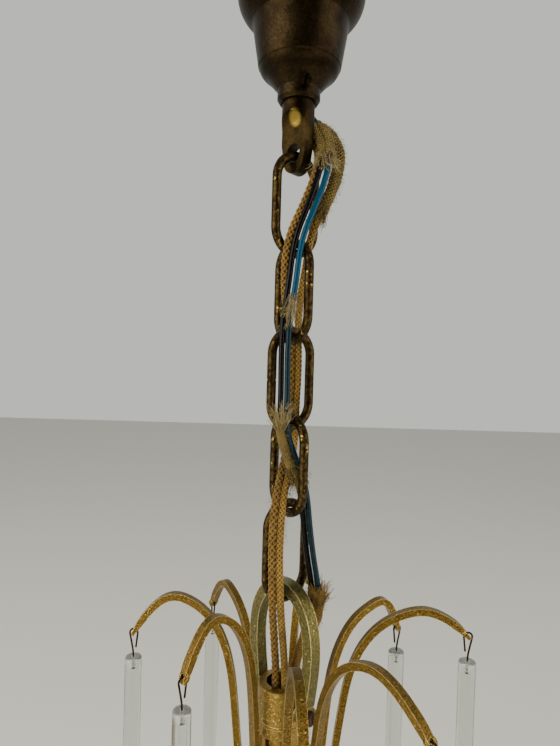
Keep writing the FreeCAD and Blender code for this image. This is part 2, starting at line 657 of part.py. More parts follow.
def arm_tip(reach, depth, out, drop):
    """The arm's end, the way it points there, and the middle of the metal under its hole."""
    line = Part.BSplineCurve()
    line.interpolate(arm_line(reach, depth, out, drop))
    way = line.tangent(line.LastParameter)[0]
    end = line.value(line.LastParameter)
    return end, way, end - way * size("lug_land") / 2


def make_arms():
    for number, (azimuth, *bend) in enumerate(ARMS, start=1):
        line = arm_line(*bend)
        thick, thin = size("arm_thick") / 2, size("lug_thick") / 2

        def half(share):
            start = 0.955
            if share < start:
                return thick
            return thick + (thin - thick) * (share - start) / (1 - start)

        wide = size("arm_wide")
        arm = band(line, half, 44).extrude(V(0, wide, 0))
        arm.translate(V(0, -wide / 2, 0))
        _, way, land = arm_tip(*bend)
        across = V(way.z, 0, -way.x)
        eye = land - way * (size("lug_land") / 2 + size("lug_hole"))
        lug = Part.makeCylinder(
            size("lug_radius"), size("lug_thick"), eye - across * size("lug_thick") / 2, across
        )
        arm = arm.fuse(lug).removeSplitter()
        hole = Part.makeCylinder(size("lug_hole"), 8, eye - across * 4, across)
        arm = arm.cut(hole)
        feature(f"arm_{number}", arm, turned_about_z(azimuth - 90))


def hook_shape():
    """The wire hook, with the middle of its bend at the origin and the rod below it."""
    bend, wire = size("hook_bend"), size("hook_wire")
    neck = V(0, 0, -size("hook_drop") + 1.6)
    low = neck - V(0, 0, 1.6 + size("hook_set"))
    lean = math.asin(bend / abs(neck.z))
    rise = V(bend * math.cos(lean), 0, -bend * math.sin(lean))
    slack = 0.55 * lean
    back = V(-bend * math.cos(slack), 0, -bend * math.sin(slack))
    free = back + V(math.sin(slack), 0, -math.cos(slack)) * size("hook_leg")
    shank = rounded_path([low, neck, rise])[0].Edges
    over = Part.Arc(rise, V(0, 0, bend), back).toShape()
    path = Part.Wire([*shank, over, Part.LineSegment(back, free).toShape()])
    profile = Part.Wire(Part.makeCircle(wire / 2, low, V(0, 0, 1)))
    return path.makePipeShell([profile], True, False, 2)


def make_rods():
    hook = hook_shape()
    radius, long = size("glass_radius"), size("glass_length")
    glass = Part.makeCylinder(radius, long)
    glass = glass.makeFillet(size("glass_round"), [e for e in glass.Edges if len(e.Vertexes) == 1
                                                   and e.Curve.TypeId == "Part::GeomCircle"])
    hole = Part.makeCylinder(size("glass_hole"), size("glass_hole_deep") + 1,
                             V(0, 0, long - size("glass_hole_deep")))
    glass = glass.cut(hole)
    for number, (azimuth, *bend) in enumerate(ARMS, start=1):
        land = arm_tip(*bend)[2]
        at = turned_about_z(azimuth - 90).multVec(land)
        feature(f"hook_{number}", hook.copy(), turned_about_z(azimuth - 90, at))
        low = at - V(0, 0, size("hook_drop") + long)
        feature(f"glass_rod_{number}", glass.copy(), turned_about_z(azimuth - 90, low))


# ---------------------------------------------------------------- lampholder
def make_lampholder():
    top = "-sizes.hub_depth - sizes.hub_thick - 4"
    cap_low = top + " - 0.1 - sizes.cap_tall"
    # a short threaded tail ties the cap to the hub
    tail = turned("holder_nipple", [
        ("sizes.tail_bore", cap_low + " + 7"), ("sizes.tail_radius", cap_low + " + 7"),
        ("sizes.tail_radius", top + " + 7"), ("sizes.tail_bore", top + " + 7"),
    ])
    sub_part(tail, "holder_nipple")
    cap = turned("holder_cap", [
        ("sizes.tail_radius + 0.05", top + " - 0.1"),
        ("sizes.cap_radius - 2.5", top + " - 0.1", "2.5", 1),
        ("sizes.cap_radius", top + " - 2.6"),
        ("sizes.cap_radius", cap_low),
        ("sizes.cap_radius - sizes.holder_wall", cap_low),
        ("sizes.cap_radius - sizes.holder_wall", top + " - 3.5"),
        ("sizes.tail_radius + 0.05", top + " - 3.5"),
    ])
    sub_part(cap, "holder_cap")
    # the contact block is screwed up into the cap
    insert_top = cap_low + " + 5.5"
    seat = insert_top + " - sizes.insert_tall"
    block_radius = "(sizes.cap_radius - sizes.holder_wall - 0.15)"
    insert = turned("contact_block_turned", [
        ("0", insert_top), (block_radius, insert_top),
        (block_radius, seat), ("0", seat),
    ])
    holes = []
    for n, (x, y) in enumerate(((-1, -1), (1, -1), (1, 1), (-1, 1))):
        hole = cylinder(f"contact_hole_{n}", "sizes.contact_hole", "sizes.insert_tall / 2")
        bind(hole, **{
            ".Placement.Base.x": f"{x} * sizes.contact_hole_out",
            ".Placement.Base.y": f"{y} * sizes.contact_hole_out",
            ".Placement.Base.z": insert_top + " - sizes.insert_tall / 2 + 0.01",
        })
        holes.append(hole)
    sub_part(cut("contact_block", insert, *holes), "contact_block")
    body_top = cap_low + " - 0.15"
    body_low = body_top + " - sizes.holder_tall"
    body = turned("holder_body", [
        (f"sizes.holder_radius - sizes.holder_wall", body_top),
        ("sizes.holder_radius", body_top),
        ("sizes.holder_radius", body_top + " - 4"),
        ("sizes.holder_radius - 0.8", body_top + " - 5"),
        ("sizes.holder_radius - 0.8", body_low + " + 2"),
        ("sizes.holder_radius + sizes.holder_lip", body_low + " + 1.6"),
        ("sizes.holder_radius + sizes.holder_lip", body_low),
        ("sizes.holder_radius - sizes.holder_wall - 1.5", body_low),
        ("sizes.holder_radius - sizes.holder_wall - 1.5", body_low + " + 2.5"),
        ("sizes.holder_radius - sizes.holder_wall - 0.8", body_low + " + 3"),
        ("sizes.holder_radius - sizes.holder_wall - 0.8", body_top + " - 6"),
        ("sizes.holder_radius - sizes.holder_wall", body_top + " - 5.5"),
    ])
    sub_part(body, "holder_body")
    # the threaded metal shell the lamp screws into, and the sprung middle contact
    shell_top = seat + " - 0.1"
    neck = "sizes.shell_neck"
    neck_low = shell_top + " - sizes.shell_neck_tall + sizes.shell_wall"
    shell = turned("socket_shell", [
        (neck, shell_top),
        (neck, shell_top + " - sizes.shell_neck_tall"),
        ("sizes.socket_radius", shell_top + " - sizes.shell_neck_tall"),
        ("sizes.socket_radius", shell_top + " - sizes.shell_tall"),
        ("sizes.socket_radius + sizes.shell_wall", shell_top + " - sizes.shell_tall"),
        ("sizes.socket_radius + sizes.shell_wall", neck_low),
        (neck + " + sizes.shell_wall", neck_low),
        (neck + " + sizes.shell_wall", shell_top + " - sizes.shell_wall"),
        ("sizes.shell_flange", shell_top + " - sizes.shell_wall"),
        ("sizes.shell_flange", shell_top),
    ])
    sub_part(shell, "socket_shell")
    long, wide, thick = size("spring_long"), size("spring_wide"), size("spring_thick")
    under = V(0, -wide / 2, sized(seat) - thick - 0.05)
    leaf = Part.makeBox(long, wide, thick, under - V(2.2, 0, 0))
    rise = Part.makeBox(long, wide, thick)
    rise.Placement = FreeCAD.Placement(
        under + V(1.2, 0, thick / 2), FreeCAD.Rotation(V(0, 1, 0), size("spring_lean"))
    )
    feature("middle_contact", leaf.fuse(rise).removeSplitter())


# ---------------------------------------------------------------- wires
def make_wire(label, width, route):
    """A wire as a plain tube along its route, compared with its section times its length."""
    points = [V(*p) for p in route]
    path, radii = rounded_path(points)
    start = Part.makeCircle(width / 2, points[0], points[1] - points[0])
    tube = path.makePipeShell([Part.Wire(start)], True, False, 2)
    expected = math.pi * width**2 / 4 * path.Length
    print(f"{label}: {path.Length:.1f} mm long, volume {tube.Volume / expected:.4f} of expected,"
          f" radii {', '.join(f'{r:.1f}' for r in radii)}")
    feature(label, tube)


# Each route runs from the terminal block down the wire way, out of the side of the nipple,
# through the links as an electrician threads them, and down the stem to the lampholder.
WIRES = {
    "braided_wire_left": ("braid_width", [
        (10.1, 8.4, -21.5), (10.0, 8.3, -29.5), (4.7, 4.8, -37.0), (-2.4, 1.0, -45.5),
        (-2.8, 0.9, -54.5), (-2.9, 0.9, -64.6), (4.2, 5.7, -73.3), (8.4, 2.4, -80.5),
        (8.2, -2.6, -89.2), (5.4, -4.9, -98.0), (1.9, -6.2, -107.0), (-1.6, -7.0, -115.0),
        (-3.3, -7.2, -123.0), (-3.7, -5.8, -131.5), (-3.2, -1.2, -141.0), (-1.2, 4.6, -149.5),
        (0.0, 7.1, -158.0), (0.3, 6.7, -171.0), (-0.2, 7.1, -183.0), (-0.1, 6.6, -193.0),
        (-0.8, 4.6, -201.0), (-2.7, -0.8, -210.0), (-4.6, -6.2, -218.5), (-5.5, -8.5, -228.0),
        (-5.6, -8.6, -240.0), (-5.2, -8.4, -252.0), (-4.7, -7.9, -264.0), (-3.7, -6.0, -276.0),
        (-2.8, -3.7, -288.0), (-2.6, -2.6, -301.0), (-2.9, -2.4, -320.0), (-2.3, -2.2, -342.0),
        (-1.8, -1.9, -364.0), (-1.6, -1.6, -384.0), (-1.6, -1.6, -402.5),
    ]),
    "braided_wire_right": ("braid_width", [
        (8.2, 11.5, -21.5), (8.2, 11.3, -31.5), (5.0, 6.2, -40.2), (0.8, 2.7, -47.7),
        (0.9, 2.7, -56.0), (0.9, 2.7, -65.2), (4.8, 4.4, -69.5), (13.2, 5.2, -72.6),
        (17.2, 1.9, -81.5), (15.9, -0.6, -92.5), (12.2, -1.6, -102.0), (8.6, -1.2, -110.0),
        (5.9, -0.9, -117.0), (5.2, -0.5, -124.5), (4.0, 1.6, -132.5), (2.8, 4.2, -141.0),
        (2.6, 6.4, -149.5), (2.8, 7.1, -158.0), (3.1, 6.9, -171.0), (2.6, 7.3, -183.0),
        (2.7, 6.8, -193.0), (2.1, 4.4, -201.0), (0.1, -0.8, -210.0), (-1.7, -5.8, -218.5),
        (-2.5, -8.1, -228.0), (-2.8, -8.3, -240.0), (-2.2, -8.4, -252.0), (-1.5, -7.6, -264.0),
        (-0.3, -6.0, -276.0), (0.8, -4.4, -288.0), (1.3, -3.5, -301.0), (1.9, -2.9, -320.0),
        (1.9, -2.4, -342.0), (1.5, -1.9, -364.0), (1.6, -1.6, -384.0), (1.6, -1.6, -402.5),
    ]),
    "black_wire": ("plain_width", [
        (12.0, 5.4, -21.5), (12.0, 5.4, -30.0), (6.3, 2.2, -37.0), (-0.3, -2.7, -46.0),
        (-0.5, -2.8, -54.5), (-0.6, -2.9, -64.6), (6.9, 1.2, -73.3), (10.3, -0.9, -80.6),
        (9.4, -5.2, -89.0), (7.0, -7.2, -98.0), (4.0, -8.2, -107.0), (1.0, -8.7, -115.0),
        (-0.8, -8.7, -123.0), (-2.0, -8.6, -136.0), (-3.8, -7.7, -149.0), (-4.1, -7.4, -162.0),
        (-3.8, -7.6, -177.5), (-3.9, -7.4, -192.0), (-1.2, -4.9, -201.5), (2.6, -1.9, -210.5),
        (5.4, -0.5, -219.0), (6.8, 0.0, -231.0), (8.4, -0.2, -243.0), (10.7, -0.2, -254.5),
        (11.3, 0.9, -264.0), (9.2, 1.1, -274.0), (6.5, 0.8, -283.0), (4.2, -0.5, -292.0),
        (3.6, -0.8, -302.0), (3.5, 0.9, -320.0), (2.8, 1.9, -342.0), (1.9, 1.8, -364.0),
        (1.6, 1.6, -384.0), (1.6, 1.6, -402.5),
    ]),
    "teal_wire": ("plain_width", [
        (13.9, 2.3, -21.5), (13.7, 2.4, -31.5), (7.5, 1.6, -39.5), (2.9, -0.4, -47.5),
        (2.8, -0.4, -56.0), (2.9, -0.4, -65.1), (6.3, 2.1, -69.3), (12.7, 0.4, -75.5),
        (12.8, -4.2, -86.0), (10.3, -6.6, -97.5), (6.9, -8.6, -107.0), (3.7, -9.3, -115.0),
        (1.8, -8.8, -123.0), (0.7, -9.1, -136.0), (-1.2, -8.8, -149.0), (-1.7, -8.0, -162.0),
        (-1.4, -8.2, -177.5), (-1.4, -7.9, -191.0), (1.5, -5.1, -200.5), (5.4, -2.5, -209.5),
        (7.9, -1.6, -219.0), (9.2, -1.2, -231.0), (10.9, -1.6, -243.0), (13.2, -1.7, -254.5),
        (13.9, -0.2, -263.5), (12.0, 2.4, -273.5), (7.9, 3.7, -282.5), (4.1, 3.5, -291.5),
        (2.6, 2.9, -302.0), (0.4, 3.6, -320.0), (-1.1, 2.9, -342.0), (-1.5, 2.0, -364.0),
        (-1.6, 1.6, -384.0), (-1.6, 1.6, -402.5),
    ]),
}


def make_wires():
    for label, (width, route) in WIRES.items():
        make_wire(label, size(width), route)


# ---------------------------------------------------------------- the whole
make_ceiling_bar()
make_loop_nipple()
make_canopy()
make_terminal_block()
make_chain()
make_bail()
make_stem()
make_arms()
make_rods()
make_lampholder()
make_wires()
doc.recompute()

for item in doc.Objects:
    if {"Invalid", "Error"} & set(item.State):
        raise RuntimeError(f"{item.Label} did not rebuild: {item.State}")
os.makedirs("parts", exist_ok=True)
for item in SUB_PARTS:
    if item.Shape.isNull() or not item.Shape.isValid() or item.Shape.Volume <= 0:
        raise RuntimeError(f"{item.Label} has no valid shape")
for item in SUB_PARTS:
    item.Shape.exportStep(f"parts/{item.Label}.step")
print(len(SUB_PARTS), "sub-parts written")
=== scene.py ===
# %% [markdown]
# # A small brass chandelier on its chain
# The lamp hangs from a bell-shaped canopy by five oval links. Four wires leave the canopy,
# thread down through the links and vanish in a short tube that carries eight bent arms, each
# with a clear glass rod on a wire hook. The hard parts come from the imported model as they
# are; this file gives them their finishes and makes the wires, their woven covers and frays.

# %% Load the frame
import json
import math

import bmesh
import bpy
from mathutils import Matrix, Vector
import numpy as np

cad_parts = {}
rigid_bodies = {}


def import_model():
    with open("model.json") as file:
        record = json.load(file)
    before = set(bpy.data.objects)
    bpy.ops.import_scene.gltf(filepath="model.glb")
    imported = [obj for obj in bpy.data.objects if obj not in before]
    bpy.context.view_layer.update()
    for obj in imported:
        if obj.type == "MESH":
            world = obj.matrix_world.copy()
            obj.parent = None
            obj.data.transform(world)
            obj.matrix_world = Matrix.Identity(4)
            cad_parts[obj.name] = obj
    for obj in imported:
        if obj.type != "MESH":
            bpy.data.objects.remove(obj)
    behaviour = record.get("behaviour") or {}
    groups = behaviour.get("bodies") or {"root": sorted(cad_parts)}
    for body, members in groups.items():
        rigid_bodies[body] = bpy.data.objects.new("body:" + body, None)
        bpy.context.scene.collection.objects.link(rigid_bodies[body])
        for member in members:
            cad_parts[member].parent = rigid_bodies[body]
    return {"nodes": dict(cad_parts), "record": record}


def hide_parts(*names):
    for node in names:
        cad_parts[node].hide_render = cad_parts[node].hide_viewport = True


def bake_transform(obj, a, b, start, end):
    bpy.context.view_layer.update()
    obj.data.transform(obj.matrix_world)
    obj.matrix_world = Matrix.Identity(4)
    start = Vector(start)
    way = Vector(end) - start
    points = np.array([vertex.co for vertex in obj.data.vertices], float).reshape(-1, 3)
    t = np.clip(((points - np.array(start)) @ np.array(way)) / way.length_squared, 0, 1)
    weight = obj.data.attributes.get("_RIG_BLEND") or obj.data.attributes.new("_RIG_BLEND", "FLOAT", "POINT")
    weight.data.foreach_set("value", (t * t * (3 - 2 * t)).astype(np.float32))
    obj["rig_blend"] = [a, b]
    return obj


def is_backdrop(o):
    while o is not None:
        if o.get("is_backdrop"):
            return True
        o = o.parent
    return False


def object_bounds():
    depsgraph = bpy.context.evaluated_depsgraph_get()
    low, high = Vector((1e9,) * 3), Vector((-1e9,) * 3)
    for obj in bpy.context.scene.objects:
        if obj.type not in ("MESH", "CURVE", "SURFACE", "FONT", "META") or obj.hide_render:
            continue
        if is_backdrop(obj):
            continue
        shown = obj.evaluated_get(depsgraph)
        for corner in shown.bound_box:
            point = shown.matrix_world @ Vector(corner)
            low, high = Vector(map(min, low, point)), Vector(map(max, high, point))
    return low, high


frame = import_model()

MM = 0.001
low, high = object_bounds()
NODES = frame["nodes"]
print("the lamp is", [round((b - a) / MM, 1) for a, b in zip(low, high)], "mm in size")

# %% [markdown]
# ## Seen from close by
# The lens is short and near, so links at the eye's height look level while the canopy is seen
# from below and the arms from above. The camera is set down first, because every finish is
# then judged from there.

# %% Camera
EYE = Vector((-4.4, -224.0, -165.0)) * MM
SENSOR = 36.0
FOCAL = 27.03
PITCH_DOWN = 1.33
ROLL = 1.6
lens = bpy.data.cameras.new("eye")
lens.sensor_fit = "VERTICAL"
lens.sensor_height = SENSOR
lens.lens = FOCAL
lens.clip_start = 0.01
camera = bpy.data.objects.new("eye", lens)
bpy.context.collection.objects.link(camera)
tilt = Matrix.Rotation(math.radians(90 - PITCH_DOWN), 4, "X")
camera.matrix_world = Matrix.Translation(EYE) @ tilt @ Matrix.Rotation(math.radians(ROLL), 4, "Z")
bpy.context.scene.camera = camera
print("focal length", FOCAL, "mm at", [round(v, 3) for v in EYE])

# %% [markdown]
# ## Small tools
# Colours are written the way a painter's chart gives them, as sRGB hex, and one function turns
# them to the linear values that shaders add up. One more function adds any node, sets it and
# links it, so that a material reads as a short list.

# %% Colour and node helpers
def colour(hex_code):
    """sRGB hex to linear RGBA."""
    channels = [int(hex_code[i:i + 2], 16) / 255 for i in (1, 3, 5)]
    return tuple(c / 12.92 if c <= 0.04045 else ((c + 0.055) / 1.055) ** 2.4
                 for c in channels) + (1.0,)


def add(tree, kind, inputs=None, **settings):
    """One node. inputs maps a socket's name or number to a value or to another node's output."""
    made = tree.nodes.new(kind)
    for name, value in settings.items():
        setattr(made, name, value)
    for key, value in (inputs or {}).items():
        if isinstance(value, bpy.types.NodeSocket):
            tree.links.new(value, made.inputs[key])
        else:
            made.inputs[key].default_value = value
    return made


def new_material(name):
    """An empty node material, its Principled shader and its output."""
    material = bpy.data.materials.new(name)
    material.use_nodes = True
    tree = material.node_tree
    tree.nodes.clear()
    shader = add(tree, "ShaderNodeBsdfPrincipled")
    add(tree, "ShaderNodeOutputMaterial", {"Surface": shader.outputs[0]})
    return material, tree, shader


def patches(tree, place, size_mm, low_end, high_end, detail=4.0, rough=0.55):
    """A 0 to 1 mask of patches about size_mm across: noise, cut between two levels."""
    noise = add(tree, "ShaderNodeTexNoise",
                {"Vector": place, "Scale": 1000.0 / size_mm, "Detail": detail, "Roughness": rough})
    return add(tree, "ShaderNodeMapRange",
               {"Value": noise.outputs[0], "From Min": low_end, "From Max": high_end}).outputs[0]


def mixed(tree, share, first, second):
    """Two colours, or a colour and a socket, mixed by a mask."""
    made = add(tree, "ShaderNodeMix", data_type="RGBA")
    for number, value in ((0, share), (6, first), (7, second)):
        if isinstance(value, bpy.types.NodeSocket):
            tree.links.new(value, made.inputs[number])
        else:
            made.inputs[number].default_value = value
    return made.outputs[2]


def relief(tree, shader, place, grain_mm, depth_mm, strength, detail=2.0, rough=0.5):
    """A fine relief over the whole surface, from noise with grains of grain_mm."""
    noise = add(tree, "ShaderNodeTexNoise", {"Vector": place, "Scale": 1000.0 / grain_mm,
                                             "Detail": detail, "Roughness": rough})
    bump = add(tree, "ShaderNodeBump", {"Height": noise.outputs[0], "Distance": depth_mm * MM,
                                        "Strength": strength})
    tree.links.new(bump.outputs[0], shader.inputs["Normal"])


print("helpers ready")

# %% [markdown]
# ## Old brass
# Brass left alone for decades turns brown, then almost black where nobody rubs it, and stays
# yellow where links bear on each other and hands touch. One recipe makes every brass here: a
# body colour, a darker film in patches of half a millimetre to nearly a centimetre, specks of
# corrosion under a millimetre, and spots worn bright. The same bright colour is painted along
# some edges as a highlight, partly edge wear, and on one spot as a painted highlight. A metal
# keeps the default IOR; the film is rougher than the metal that shows through it.

# %% Aged brass recipe
FLAT_FACE, SHARP_EDGE = 0.995, 0.93
SPOT_RIM, SPOT_CORE = 1.0, 0.55


def aged_brass(name, body, film, rubbed_and_highlight, film_patch, film_cover, rub_patch, rub_level,
               roughness, pit_depth, pit_size, edge_gold=0.0, highlight_spot=None):
    """Brass with a film and places worn bright, whose colour is also painted as highlights.
    Patches, pits and edge_gold are sizes in mm; the painted highlight along edges is partly edge
    wear. The last argument gives the middle and the half widths, in mm, of one spot painted
    bright as a highlight."""
    material, tree, shader = new_material(name)
    place = add(tree, "ShaderNodeTexCoord").outputs["Object"]
    dark = patches(tree, place, film_patch, film_cover - 0.12, film_cover + 0.12, 6.0)
    tone = mixed(tree, dark, colour(film), colour(body))
    specks = patches(tree, place, pit_size, 0.42, 0.62, 3.0)
    tone = mixed(tree, specks, mixed(tree, 0.55, tone, colour(film)), tone)
    rub_and_highlight = patches(tree, place, rub_patch, rub_level, rub_level + 0.1, 3.0)
    if edge_gold:
        # a bevelled normal differs from the true one only along an edge; there the bright colour is painted
        # as a highlight, partly edge wear
        rounded = add(tree, "ShaderNodeBevel", {"Radius": edge_gold * MM}, samples=6)
        true = add(tree, "ShaderNodeNewGeometry")
        apart = add(tree, "ShaderNodeVectorMath",
                    {0: rounded.outputs[0], 1: true.outputs["Normal"]}, operation="DOT_PRODUCT")
        edge = add(tree, "ShaderNodeMapRange",
                   {"Value": apart.outputs["Value"], "From Min": FLAT_FACE,
                    "From Max": SHARP_EDGE})
        rub_and_highlight = add(tree, "ShaderNodeMath", {0: rub_and_highlight, 1: edge.outputs[0]}, operation="MAXIMUM",
                  use_clamp=True).outputs[0]
    # one spot painted bright as a highlight
    if highlight_spot:
        middle, reach = highlight_spot
        inside = add(tree, "ShaderNodeVectorMath",
                     {0: place, 1: [v * MM for v in middle]}, operation="SUBTRACT").outputs[0]
        inside = add(tree, "ShaderNodeVectorMath",
                     {0: inside, 1: [v * MM for v in reach]}, operation="DIVIDE").outputs[0]
        away = add(tree, "ShaderNodeVectorMath", {0: inside}, operation="LENGTH")
        spot = add(tree, "ShaderNodeMapRange", {"Value": away.outputs["Value"],
                                                "From Min": SPOT_RIM, "From Max": SPOT_CORE})
        rub_and_highlight = add(tree, "ShaderNodeMath", {0: rub_and_highlight, 1: spot.outputs[0]}, operation="MAXIMUM",
                  use_clamp=True).outputs[0]
    # the bright colour is real wear in the noise patches, and painted highlight along edges and on the one
    # spot
    tone = mixed(tree, rub_and_highlight, tone, colour(rubbed_and_highlight))
    tree.links.new(tone, shader.inputs["Base Color"])
    shader.inputs["Metallic"].default_value = 1.0
    dull = add(tree, "ShaderNodeMapRange",
               {"Value": rub_and_highlight, "To Min": roughness, "To Max": max(roughness - 0.18, 0.12)})
    tree.links.new(dull.outputs[0], shader.inputs["Roughness"])
    relief(tree, shader, place, pit_size, pit_depth, 0.9, detail=5.0, rough=0.6)
    return material


FINISHES = {
    "patinated_brass": aged_brass("patinated brass", "#352b1a", "#1a120a", "#665832",
                                  9.0, 0.46, 4.0, 0.74, 0.42, 0.14, 0.9),
    "tarnished_brass": aged_brass("tarnished brass", "#5a4a28", "#231a0f", "#b3924c",
                                  1.6, 0.52, 2.6, 0.64, 0.40, 0.18, 0.5),
    # the arms' edges take the bright colour as a painted highlight, partly edge wear
    "cast_brass": aged_brass("cast brass", "#957736", "#2e2009", "#efcb74",
                             0.5, 0.44, 0.55, 0.61, 0.29, 0.26, 0.36, edge_gold=0.25),
    "polished_brass": aged_brass("polished brass", "#a88240", "#5c431b", "#e6c277",
                                 7.0, 0.40, 9.0, 0.60, 0.24, 0.03, 0.5),
}
# a few pieces have a surface of their own
SPECIAL_FINISHES = {
    # the bright spot on the nipple's front is a painted highlight
    "loop_nipple": aged_brass("nipple brass", "#3d3119", "#1c140a", "#8b7434", 7.0, 0.46, 3.0,
                              0.72, 0.42, 0.14, 0.7,
                              highlight_spot=((-1.3, -4.0, -70.5), (2.9, 4.0, 3.8))),
    # bail and collar edges take the bright colour as a painted highlight, partly edge wear
    "bail_ring": aged_brass("bail brass", "#7f7746", "#423a1f", "#d6c986", 1.0, 0.42, 1.3, 0.64,
                            0.32, 0.28, 0.5, edge_gold=0.6),
    "stem_collar": aged_brass("collar brass", "#ad9048", "#5a4218", "#ecd38c", 0.6, 0.42, 0.7,
                              0.60, 0.30, 0.22, 0.4, edge_gold=0.4),
    "canopy_grub_screw": aged_brass("corroded screw", "#2b2015", "#120d08", "#544634", 0.9, 0.5,
                                    1.2, 0.7, 0.5, 0.3, 0.4),
}
print(len(FINISHES), "brass finishes")

# %% [markdown]
# ## Glass, wire, plastic and porcelain
# The rods are drawn soda glass: clear, with a slight green cast, and ground matt at the upper
# end. The hooks are iron wire with a black-brown oxide skin. Holder and terminals are pressed
# phenolic and glazed porcelain, both dielectrics and a little clouded.

# %% Glass
GROUND_FROM, GROUND_FULL = 0.972, 0.992
WAVE_STRETCH = 0.12
WAVES_PER_METRE = 700.0


def drawn_glass():
    material, tree, shader = new_material("drawn glass")
    shader.inputs["Base Color"].default_value = colour("#dfe5dd")
    shader.inputs["IOR"].default_value = 1.52
    coordinates = add(tree, "ShaderNodeTexCoord")
    place = coordinates.outputs["Object"]
    # the upper end is ground and drilled for its hook, so it scatters light
    height = add(tree, "ShaderNodeSeparateXYZ", {0: coordinates.outputs["Generated"]})
    ground = add(tree, "ShaderNodeMapRange", {"Value": height.outputs["Z"],
                                              "From Min": GROUND_FROM, "From Max": GROUND_FULL})
    clear = add(tree, "ShaderNodeMapRange",
                {"Value": ground.outputs[0], "To Min": 1.0, "To Max": 0.7})
    tree.links.new(clear.outputs[0], shader.inputs["Transmission Weight"])
    rough = add(tree, "ShaderNodeMapRange",
                {"Value": ground.outputs[0], "To Min": 0.015, "To Max": 0.22})
    tree.links.new(rough.outputs[0], shader.inputs["Roughness"])
    # drawing leaves waves about a centimetre long that barely bend the reflections
    along = add(tree, "ShaderNodeMapping", {"Vector": place, "Scale": (1.0, 1.0, WAVE_STRETCH)})
    waves = add(tree, "ShaderNodeTexNoise",
                {"Vector": along.outputs[0], "Scale": WAVES_PER_METRE, "Detail": 1.0})
    bump = add(tree, "ShaderNodeBump", {"Height": waves.outputs[0], "Distance": 0.02 * MM,
                                        "Strength": 0.35})
    tree.links.new(bump.outputs[0], shader.inputs["Normal"])
    return material


FINISHES["glass"] = drawn_glass()


# %% Dielectrics and iron
def plain_finish(name, body, other, patch, roughness, metal=0.0, coat=0.0, bump_mm=0.02,
                 grain_mm=0.5):
    """A body colour clouded by a second one, with a fine grain."""
    material, tree, shader = new_material(name)
    place = add(tree, "ShaderNodeTexCoord").outputs["Object"]
    cloud = patches(tree, place, patch, 0.35, 0.65, 5.0)
    tree.links.new(mixed(tree, cloud, colour(body), colour(other)), shader.inputs["Base Color"])
    worn = add(tree, "ShaderNodeMapRange",
               {"Value": cloud, "To Min": roughness, "To Max": min(roughness + 0.14, 1.0)})
    tree.links.new(worn.outputs[0], shader.inputs["Roughness"])
    shader.inputs["Metallic"].default_value = metal
    shader.inputs["Coat Weight"].default_value = coat
    relief(tree, shader, place, grain_mm, bump_mm, 0.6)
    return material


FINISHES["dark_steel"] = plain_finish("oxidised iron wire", "#3a2a20", "#1c1512", 1.5, 0.45, 0.9)
FINISHES["screw_steel"] = plain_finish("rusty screw steel", "#5c4030", "#2a1c15", 0.9, 0.6, 0.7,
                                       bump_mm=0.08)
FINISHES["zinc_steel"] = plain_finish("zinc plated steel", "#b9bab6", "#96988f", 3.0, 0.35, 1.0)
FINISHES["phenolic"] = plain_finish("pressed phenolic", "#1d1512", "#281b14", 8.0, 0.28)
FINISHES["porcelain"] = plain_finish("glazed porcelain", "#e4dfd0", "#cfc7b2", 9.0, 0.2,
                                     coat=0.6, bump_mm=0.01, grain_mm=1.2)
print(len(FINISHES), "finishes so far")

# %% [markdown]
# ## The hard parts
# The CAD pieces arrive as triangles with hard facets. A short Geometry Nodes tree welds them,
# shades them smooth except across real corners, and is left live as a modifier, so that the
# pieces themselves stay as they were made.

# %% Smooth shading for the hard parts
WELD_REACH = 0.002 * MM
CORNER = math.radians(32)


def smoothing_tree():
    tree = bpy.data.node_groups.new("weld and shade", "GeometryNodeTree")
    tree.interface.new_socket("Geometry", in_out="INPUT", socket_type="NodeSocketGeometry")
    reach = tree.interface.new_socket("Weld Distance", in_out="INPUT",
                                      socket_type="NodeSocketFloat")
    reach.default_value = WELD_REACH
    corner = tree.interface.new_socket("Corner Angle", in_out="INPUT",
                                       socket_type="NodeSocketFloat")
    corner.default_value = CORNER
    tree.interface.new_socket("Geometry", in_out="OUTPUT", socket_type="NodeSocketGeometry")
    given = add(tree, "NodeGroupInput").outputs
    weld = add(tree, "GeometryNodeMergeByDistance",
               {"Geometry": given[0], "Distance": given["Weld Distance"]})
    smooth = add(tree, "GeometryNodeSetShadeSmooth",
                 {"Geometry": weld.outputs[0], "Shade Smooth": True})
    angle = add(tree, "GeometryNodeInputMeshEdgeAngle").outputs["Unsigned Angle"]
    gentle = add(tree, "FunctionNodeCompare", {0: angle, 1: given["Corner Angle"]},
                 data_type="FLOAT", operation="LESS_THAN").outputs[0]
    edged = add(tree, "GeometryNodeSetShadeSmooth",
                {"Geometry": smooth.outputs[0], "Shade Smooth": gentle}, domain="EDGE")
    add(tree, "NodeGroupOutput", {0: edged.outputs[0]})
    return tree


SMOOTHING = smoothing_tree()
BAIL_EDGE = 1.1 * MM
ARM_EDGE = 0.35 * MM
EDGE_ANGLE = math.radians(38)
WORN_EDGES = {name: ARM_EDGE for name in NODES if name.startswith("arm_") and name != "arm_hub"}
WORN_EDGES["bail_ring"] = BAIL_EDGE
for name, node in NODES.items():
    node.modifiers.new("weld and shade", "NODES").node_group = SMOOTHING
    if name in WORN_EDGES:
        edges = node.modifiers.new("worn edges", "BEVEL")
        edges.width = WORN_EDGES[name]
        edges.segments = 3
        edges.limit_method = "ANGLE"
        edges.angle_limit = EDGE_ANGLE
print(len(NODES), "hard parts shaded")

# %% [markdown]
# Each hard part takes the finish of its slot in the record. The wires have none here, since
# they are made further down.

